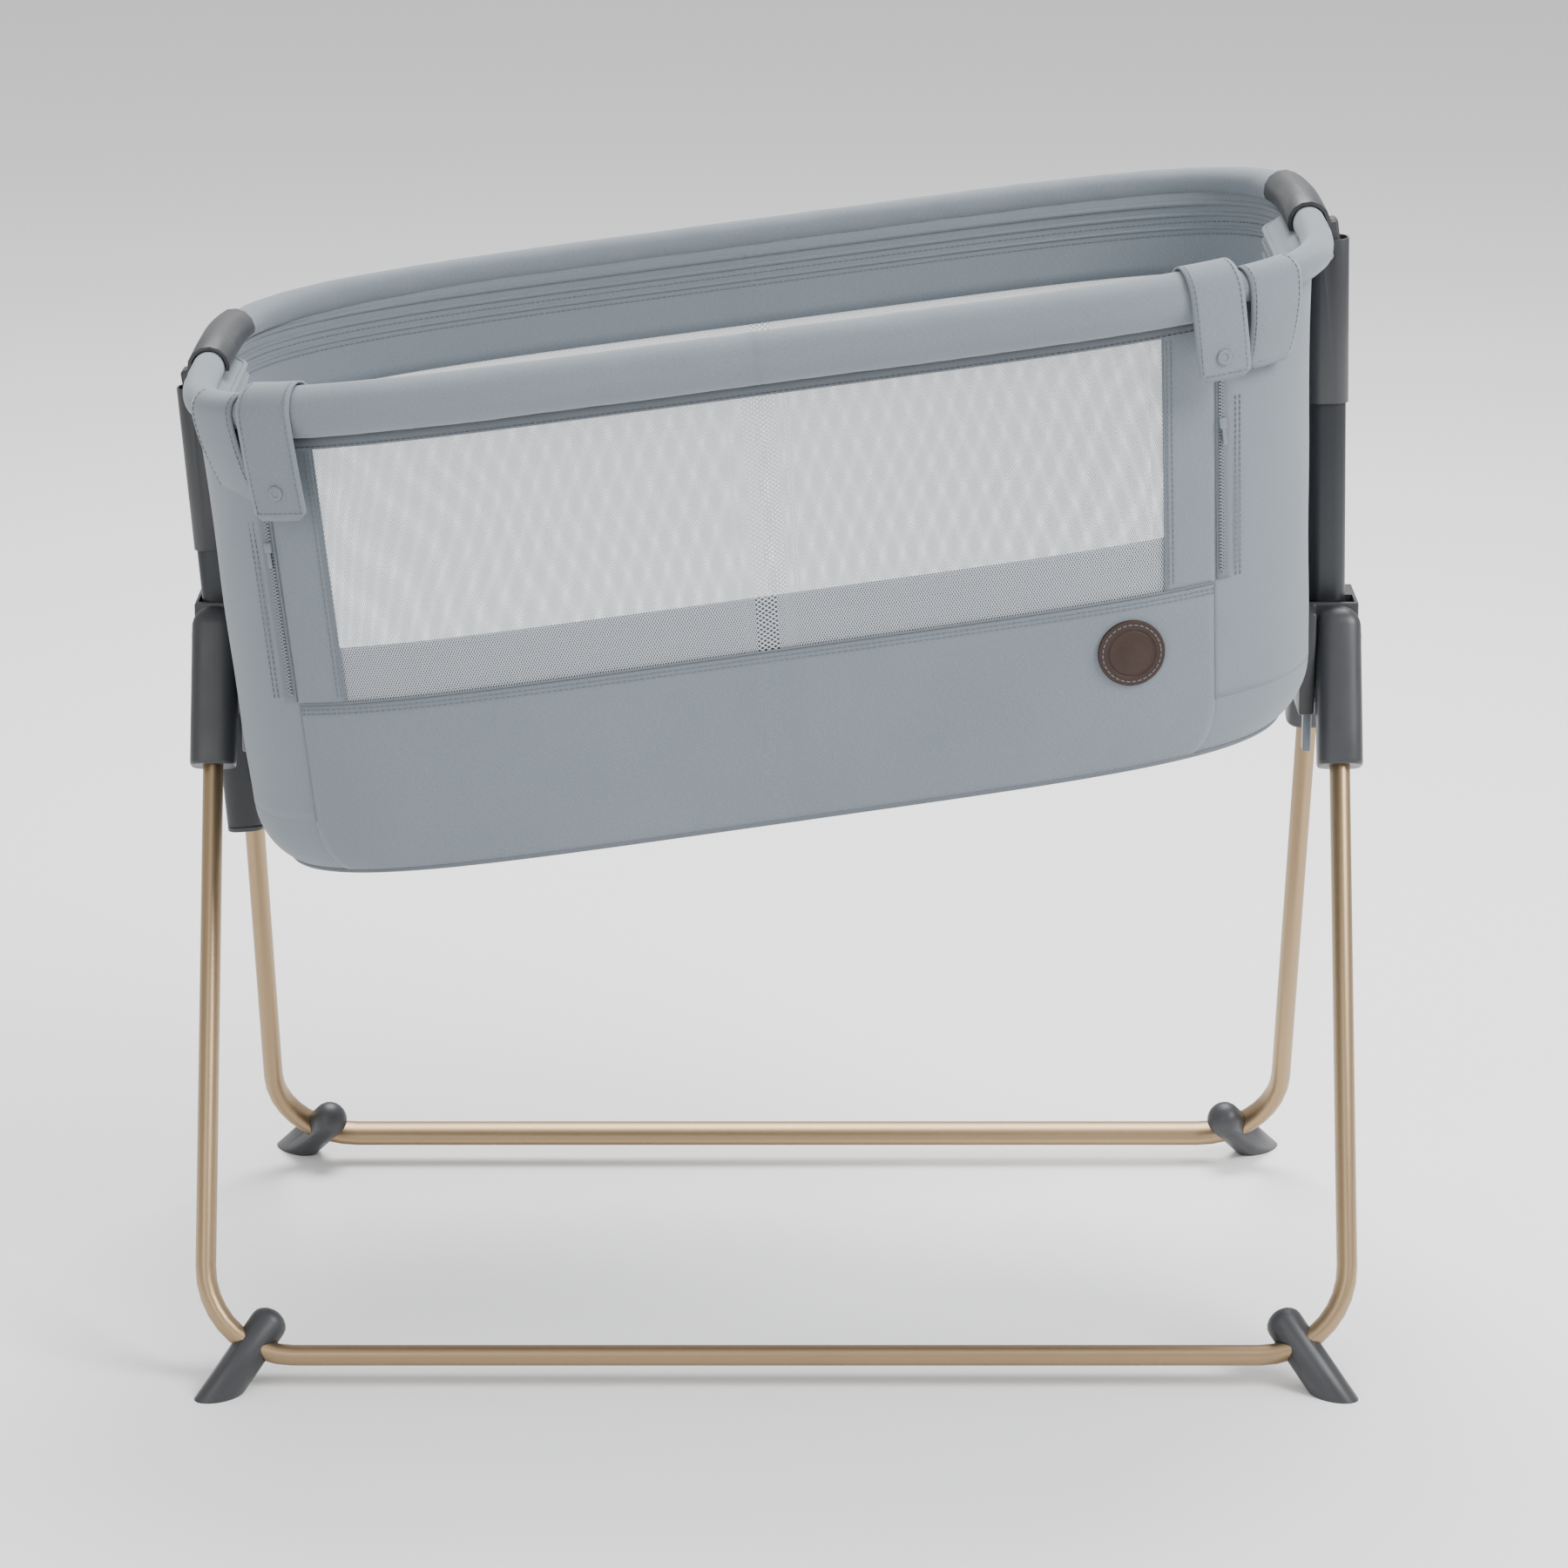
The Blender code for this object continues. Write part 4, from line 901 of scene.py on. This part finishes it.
def make_drop_side():
    """The mesh window, its cloth strips and binding, and the padded rail that carries it."""
    window = [angle_at(u) for u in WINDOW_SPAN]
    low = DROP_SEAM - 0.0005
    net = wall("drop_mesh_cloth", window[0] - 0.004, window[1] + 0.004, DROP_TOP, low, 0.007,
               mesh_creases, "mesh", thickness=0.0, proud=-0.0004)
    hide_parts("drop_side_mesh")
    swing(net)
    for side, sign, edge_u, edge, outer in (("left", -1, WINDOW_SPAN[0], window[0], FRONT_LEFT + 0.002),
                                            ("right", 1, WINDOW_SPAN[1], window[1], FRONT_RIGHT - 0.002)):
        start, end = sorted((edge, outer))
        strip = wall(f"drop_{side}_strip", start, end, DROP_TOP, low, 0.004, flat_still, "cloth",
                     thickness=THIN_FABRIC, proud=0.0009)
        swing(strip)
        lines = [drop_line(angle_at(edge_u + sign * inward), 0.031, DROP_SEAM - 0.004, 0.0012)
                 for inward in (0.0025, 0.0060)]
        swing(stitches(f"drop_{side}_strip_stitching", lines))
        trim = drop_line(edge, 0.028, DROP_SEAM - 0.002, 0.0006)
        swing(cord(f"drop_{side}_window_edge", trim, 0.0008, "seam"))
    header = wall("drop_header_binding", FRONT_LEFT + 0.002, FRONT_RIGHT - 0.002, 0.0195, 0.0300, 0.006,
                  flat_still, "binding", thickness=THIN_FABRIC, proud=0.0012)
    ride(header, "drop_side")
    line = wall_line(FRONT_LEFT + 0.004, FRONT_RIGHT - 0.004, 0.0285, 0.0015)
    ride(stitches("drop_header_stitching", [line], "binding"), "drop_side")

    def rail_shape(run, turn, length):
        end = min(run, length - run)
        cap = 1 - math.sqrt(max(0.0, 1 - (1 - min(1.0, end / 0.010)) ** 2))
        return (-0.011 * cap + 0.0005 * ring_ripple(run * 14, turn, 1.2)
                + 0.0003 * ring_ripple(run * 60, turn, 0.8))

    pad = roll("drop_rail_padding", angle_at(RAIL_SPAN[0]), angle_at(RAIL_SPAN[1]), RAIL_RADIUS - 0.0004,
               0.004, 28, rail_shape, "cloth")
    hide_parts("drop_rail_pad")
    ride(pad, "drop_side")
    finish_hidden("drop_rail_tube")


def make_tabs():
    """The cloth tabs that hold the rail to the rim, with their stitching and press studs."""
    for side, u, hanging in TABS:
        ends = [angle_at(u - TAB_HALF), angle_at(u + TAB_HALF)]
        strap, rows = folded_strap(f"{side}_tab_cloth", ends, TAB_RADIUS, hanging, TAB_DRAW_IN)
        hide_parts(f"{side}_rail_tab")
        ride(strap, "drop_side")
        ride(stitches(f"{side}_tab_stitching", rows), "drop_side")
        lean = math.atan2(TAB_DRAW_IN, hanging)
        place = (0, TAB_RADIUS - TAB_DRAW_IN * STUD_SHARE + 0.0002, -hanging * STUD_SHARE)
        middle = BASKET @ rim_frame(angle_at(u)) @ Matrix.Translation(place)
        face_out = middle @ Matrix.Rotation(-math.pi / 2 - lean, 4, "X")
        bm = stud(0.0058, 0.0024, face_out, 32, 0.0008, ((0.0018, 0.0), (0.0004, -0.0006)))
        press = piece_from(bm, f"{side}_press_stud", "snap")
        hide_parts(f"{side}_tab_snap")
        ride(press, "drop_side")


def make_zips():
    """The zips' tapes, teeth and sliders, and the double stitching beside them."""
    for side, low, high in ZIPS:
        sign = -1 if side == "left" else 1
        outer = low if side == "left" else high
        middle = (low + high) / 2
        span = sorted((angle_at(middle + sign * 0.009), angle_at(middle - sign * 0.0035)))
        tape = wall(f"{side}_zip_tape", span[0], span[1], ZIP_TOP, ZIP_BOTTOM, 0.004, flat_still, "seam",
                    thickness=0.0008, proud=0.0010)
        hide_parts(f"{side}_zip")
        hang(tape, side)
        bm = bmesh.new()
        for i in range(TOOTH_COUNT):
            depth = TEETH_TOP + TOOTH_PITCH * i
            for half, shift in ((-1, 0.0), (1, TOOTH_PITCH / 2)):
                angle = angle_at(middle + half * 0.0009)
                at = wall_point(angle, depth + shift, 0.0017)
                turn = facing(wall_point(angle, depth, 0.0017), wall_point(angle + 0.004, depth, 0.0017))
                bmesh.ops.create_cube(bm, size=1.0, matrix=Matrix.Translation(at) @ turn
                                      @ Matrix.Diagonal((*TOOTH, 1)))
        hang(piece_from(bm, f"{side}_zip_teeth", "snap", BASKET, sharp=math.radians(30)), side)
        at = wall_point(angle_at(middle), SLIDER_DEPTH, 0.0030)
        turn = facing(at, wall_point(angle_at(middle + 0.004), SLIDER_DEPTH, 0.0030))
        bm = bmesh.new()
        # The slider's body, and the pull that hangs in front of it.
        for drop, out, size in ((0.0, 0.0, (0.0060, 0.0026, 0.0080)),
                                (0.0095, 0.0006, (0.0034, 0.0012, 0.0140))):
            spot = Matrix.Translation(at + Vector((0, 0, -drop))) @ turn @ Matrix.Translation((0, out, 0))
            bmesh.ops.create_cube(bm, size=1.0, matrix=spot @ Matrix.Diagonal((*size, 1)))
        bmesh.ops.bevel(bm, geom=list(bm.edges), offset=0.0005, segments=2, affect="EDGES", profile=0.5,
                        material=-1)
        ride(piece_from(bm, f"{side}_zip_slider", "snap", BASKET), "basket")
        lines = [drop_line(angle_at(outer + sign * inward), 0.084, ZIP_BOTTOM, 0.0006)
                 for inward in (0.0095, 0.0130)]
        hang(stitches(f"{side}_zip_stitching", lines), side)


# The base -------------------------------------------------------------------------------------------

def level_at(depth):
    """The plane of the basket's floor at a depth, which droops with the wall."""
    slope = math.atan(LOW_END_DROOP * depth / RIM_HALF_LENGTH)
    return Matrix.Translation((0, 0, -depth * (1 + LOW_END_DROOP))) @ Matrix.Rotation(-slope, 4, "Y")


def base_pad(name, top, bottom, inset, round_by, crown, material):
    """A flat pad with the basket's outline, rounded round its edge and crowned on top."""
    angles = even_angles(0.0, FULL_TURN, 0.014)
    half = (bottom - top) / 2
    level = level_at((top + bottom) / 2)
    centre = Vector((SWAY_AT_TOP + SWAY_PER_DEPTH * bottom, 0, 0))
    reach = [Vector((*wall_point(angle, bottom, -inset).xy, 0)) - centre for angle, _ in angles]
    # From the middle of the top, out, round both edges and back under: share of the way out, inset, height.
    quarter = [math.pi / 2 * i / 5 for i in range(6)]
    profile = [(i / 10, None, half) for i in range(10)]
    profile += [(1.0, round_by * (1 - math.sin(t)), half - round_by + round_by * math.cos(t)) for t in quarter]
    profile += [(1.0, round_by * (1 - math.cos(t)), -half + round_by - round_by * math.sin(t)) for t in quarter]
    profile += [(1 - i / 6, None, -half) for i in range(1, 7)]

    def place(column, row):
        share, inward, height = profile[row]
        out = reach[column]
        flat = out.length - round_by
        far = flat * share if inward is None else out.length - inward
        if height > 0:
            height += crown * (1 - min(1.0, far / out.length) ** 3)
        return level @ (centre + out.normalized() * far + Vector((0, 0, height)))

    def run(column, row):
        spot = place(column, row)
        return (spot.x, spot.y)

    return grid_piece(name, len(angles) - 1, len(profile) - 1, place, run, material, closed=True)


def make_base():
    mattress = base_pad("mattress_pad", MATTRESS_TOP, MATTRESS_BOTTOM, PAD_INSET, 0.012, 0.005, "mattress")
    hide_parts("mattress")
    ride(mattress, "hanging_base")
    moulded("base_board", "board", 0.0006)
    cover = base_pad("base_cloth", 0.3600, 0.3650, PAD_INSET, 0.0020, 0.0, "cloth")
    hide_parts("base_cover")
    ride(cover, "hanging_base")
    line = wall_line(0.0, NEARLY_ROUND, BASKET_DEPTH - 0.0022, 0.0006)
    ride(cord("bottom_piping", line, 0.0022, "piping", cyclic=True), "hanging_base")
    middle = (MATTRESS_TOP + MATTRESS_BOTTOM) / 2
    for word, depth in (("top", MATTRESS_TOP + 0.002), ("bottom", MATTRESS_BOTTOM - 0.002)):
        points = [level_at(middle) @ Vector((*wall_point(a, MATTRESS_BOTTOM, -0.0130).xy, middle - depth))
                  for a, _ in even_angles(0.0, NEARLY_ROUND, 0.008)]
        ride(cord(f"mattress_{word}_piping", points, 0.0016, "pale_piping", cyclic=True), "hanging_base")


def make_badge():
    """A plain round leather patch, sewn on, with a pressed ring."""
    angle = angle_at(BADGE_U)
    # The wall leans and narrows downwards, so the angle is stepped until the patch is at its place.
    for _ in range(20):
        angle += (BADGE_U - wall_point(angle, BADGE_DEPTH).x) * 1.5
    at = wall_point(angle, BADGE_DEPTH)
    along = (wall_point(angle + 0.004, BADGE_DEPTH) - at).normalized()
    upward = (wall_point(angle, BADGE_DEPTH - 0.004) - at).normalized()
    out = along.cross(upward).normalized()
    if out.y > 0:
        out.negate()
    up = out.cross(along).normalized()
    seat = at + out * 0.0010
    turn = Matrix(((along.x, up.x, out.x, seat.x), (along.y, up.y, out.y, seat.y),
                   (along.z, up.z, out.z, seat.z), (0, 0, 0, 1)))
    rings = ((0.0060, 0.0), (0.0005, -0.0005), (0.0010, 0.0), (0.0005, 0.0005), (0.0090, 0.0), (0.0006, 0.0004))
    bm = stud(BADGE_RADIUS, 0.0026, turn, 64, 0.0008, rings)
    patch = piece_from(bm, "leather_patch", "leather", BASKET, sharp=math.radians(35))
    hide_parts("leather_badge")
    hang(patch, "side")
    ring = [turn @ Vector((BADGE_SEWN_AT * math.cos(a), BADGE_SEWN_AT * math.sin(a), 0.0027))
            for a in (FULL_TURN * i / 60 for i in range(61))]
    hang(stitches("leather_patch_stitching", [ring], "piping"), "side")


# The stage ------------------------------------------------------------------------------------------

def add_light(name, at, size, watts):
    data = bpy.data.lights.new(name, "AREA")
    data.shape = "DISK"
    data.size = size
    data.energy = watts
    light = add_object(name, data)
    light.location = at
    light.rotation_euler = (Vector((0, 0, 0.55)) - Vector(at)).to_track_quat("-Z", "Y").to_euler()


def make_stage():
    bm = bmesh.new()
    bmesh.ops.create_grid(bm, x_segments=1, y_segments=1, size=14)
    data = bpy.data.meshes.new("studio_floor")
    bm.to_mesh(data)
    bm.free()
    floor = add_object("studio_floor", data)
    material, tree, shader = new_material("painted_studio_floor", Roughness=0.9, Specular_IOR_Level=0.1)
    place = add_node(tree, "ShaderNodeTexCoord").outputs["Object"]
    cloud = add_node(tree, "ShaderNodeTexNoise", {"Vector": place, "Scale": 1.5, "Detail": 2.0})
    tint = blend_colours(tree, cloud.outputs["Fac"], linear("#F6F6F6"), linear("#F3F4F4"))
    tree.links.new(tint, shader.inputs["Base Color"])
    data.materials.append(material)
    world = bpy.data.worlds.new("studio")
    world.use_nodes = True
    sky = world.node_tree.nodes["Background"]
    sky.inputs["Color"].default_value = (1, 1, 1, 1)
    sky.inputs["Strength"].default_value = 0.85
    bpy.context.scene.world = world
    add_light("key", (2.8, -1.6, 3.4), 2.2, 200)
    add_light("fill", (-1.6, -3.6, 2.2), 3.0, 50)
    add_light("back", (0.2, 1.8, 3.8), 2.4, 220)
    data = bpy.data.cameras.new("camera")
    data.lens = CAMERA_LENS
    data.sensor_width = 36
    camera = add_object("camera", data)
    camera.location = (CAMERA_AIM.x, -CAMERA_AWAY * math.cos(CAMERA_RISE),
                       CAMERA_AIM.z + CAMERA_AWAY * math.sin(CAMERA_RISE))
    camera.rotation_euler = (math.pi / 2 - CAMERA_RISE, 0, 0)
    bpy.context.scene.camera = camera


# The add-on -----------------------------------------------------------------------------------------

class BASSINET_OT_stand(bpy.types.Operator):
    """Finish the legs, feet, hubs, buttons and latches"""
    bl_idname = "bassinet.stand"
    bl_label = "Stand"

    def execute(self, context):
        make_stand()
        return {"FINISHED"}


class BASSINET_OT_posts(bpy.types.Operator):
    """Finish the posts, their sleeves and the rim's brackets"""
    bl_idname = "bassinet.posts"
    bl_label = "Posts"

    def execute(self, context):
        make_posts()
        return {"FINISHED"}


class BASSINET_OT_rim(bpy.types.Operator):
    """Make the rim's sleeve and its piping"""
    bl_idname = "bassinet.rim"
    bl_label = "Rim"

    def execute(self, context):
        make_rim()
        return {"FINISHED"}


class BASSINET_OT_ends(bpy.types.Operator):
    """Sew both end walls with their flaps"""
    bl_idname = "bassinet.ends"
    bl_label = "End walls"

    def execute(self, context):
        make_ends()
        return {"FINISHED"}


class BASSINET_OT_back(bpy.types.Operator):
    """Sew the back's band, mesh and lower panel"""
    bl_idname = "bassinet.back"
    bl_label = "Back"

    def execute(self, context):
        make_back()
        return {"FINISHED"}


class BASSINET_OT_front(bpy.types.Operator):
    """Sew the front's lower panel"""
    bl_idname = "bassinet.front"
    bl_label = "Front panel"

    def execute(self, context):
        make_front()
        return {"FINISHED"}


class BASSINET_OT_drop_side(bpy.types.Operator):
    """Make the mesh side that drops, with its padded rail"""
    bl_idname = "bassinet.drop_side"
    bl_label = "Drop side"

    def execute(self, context):
        make_drop_side()
        return {"FINISHED"}


class BASSINET_OT_tabs(bpy.types.Operator):
    """Make the tabs and their press studs"""
    bl_idname = "bassinet.tabs"
    bl_label = "Tabs"

    def execute(self, context):
        make_tabs()
        return {"FINISHED"}


class BASSINET_OT_zips(bpy.types.Operator):
    """Make the zips at both ends of the drop side"""
    bl_idname = "bassinet.zips"
    bl_label = "Zips"

    def execute(self, context):
        make_zips()
        return {"FINISHED"}


class BASSINET_OT_base(bpy.types.Operator):
    """Make the mattress, the board, the base's cloth and the piping"""
    bl_idname = "bassinet.base"
    bl_label = "Base"

    def execute(self, context):
        make_base()
        return {"FINISHED"}


class BASSINET_OT_badge(bpy.types.Operator):
    """Make the leather patch"""
    bl_idname = "bassinet.badge"
    bl_label = "Leather patch"

    def execute(self, context):
        make_badge()
        return {"FINISHED"}


class BASSINET_OT_stage(bpy.types.Operator):
    """Set up the floor, the lights and the camera"""
    bl_idname = "bassinet.stage"
    bl_label = "Stage"

    def execute(self, context):
        make_stage()
        return {"FINISHED"}


STEPS = (BASSINET_OT_stand, BASSINET_OT_posts, BASSINET_OT_rim, BASSINET_OT_ends, BASSINET_OT_back,
         BASSINET_OT_front, BASSINET_OT_drop_side, BASSINET_OT_tabs, BASSINET_OT_zips, BASSINET_OT_base,
         BASSINET_OT_badge, BASSINET_OT_stage)


class BASSINET_PT_panel(bpy.types.Panel):
    """Lists the pieces in the order in which they are made"""
    bl_idname = "BASSINET_PT_panel"
    bl_label = "Bassinet on stand"
    bl_space_type = "VIEW_3D"
    bl_region_type = "UI"
    bl_category = "Bassinet"

    def draw(self, context):
        for group in (context.scene.bassinet_sizes, context.scene.bassinet_colours):
            for name in group.__annotations__:
                self.layout.prop(group, name)
        for step in STEPS:
            self.layout.operator(step.bl_idname)


CLASSES = (BassinetColours, BassinetSizes, *STEPS, BASSINET_PT_panel)


def register():
    for item in CLASSES:
        bpy.utils.register_class(item)
    bpy.types.Scene.bassinet_colours = PointerProperty(type=BassinetColours)
    bpy.types.Scene.bassinet_sizes = PointerProperty(type=BassinetSizes)


def unregister():
    del bpy.types.Scene.bassinet_sizes
    del bpy.types.Scene.bassinet_colours
    for item in reversed(CLASSES):
        bpy.utils.unregister_class(item)


def main():
    register()
    for step in STEPS:
        group, name = step.bl_idname.split(".")
        getattr(getattr(bpy.ops, group), name)()
    bpy.context.view_layer.update()


if __name__ == "__main__":
    main()
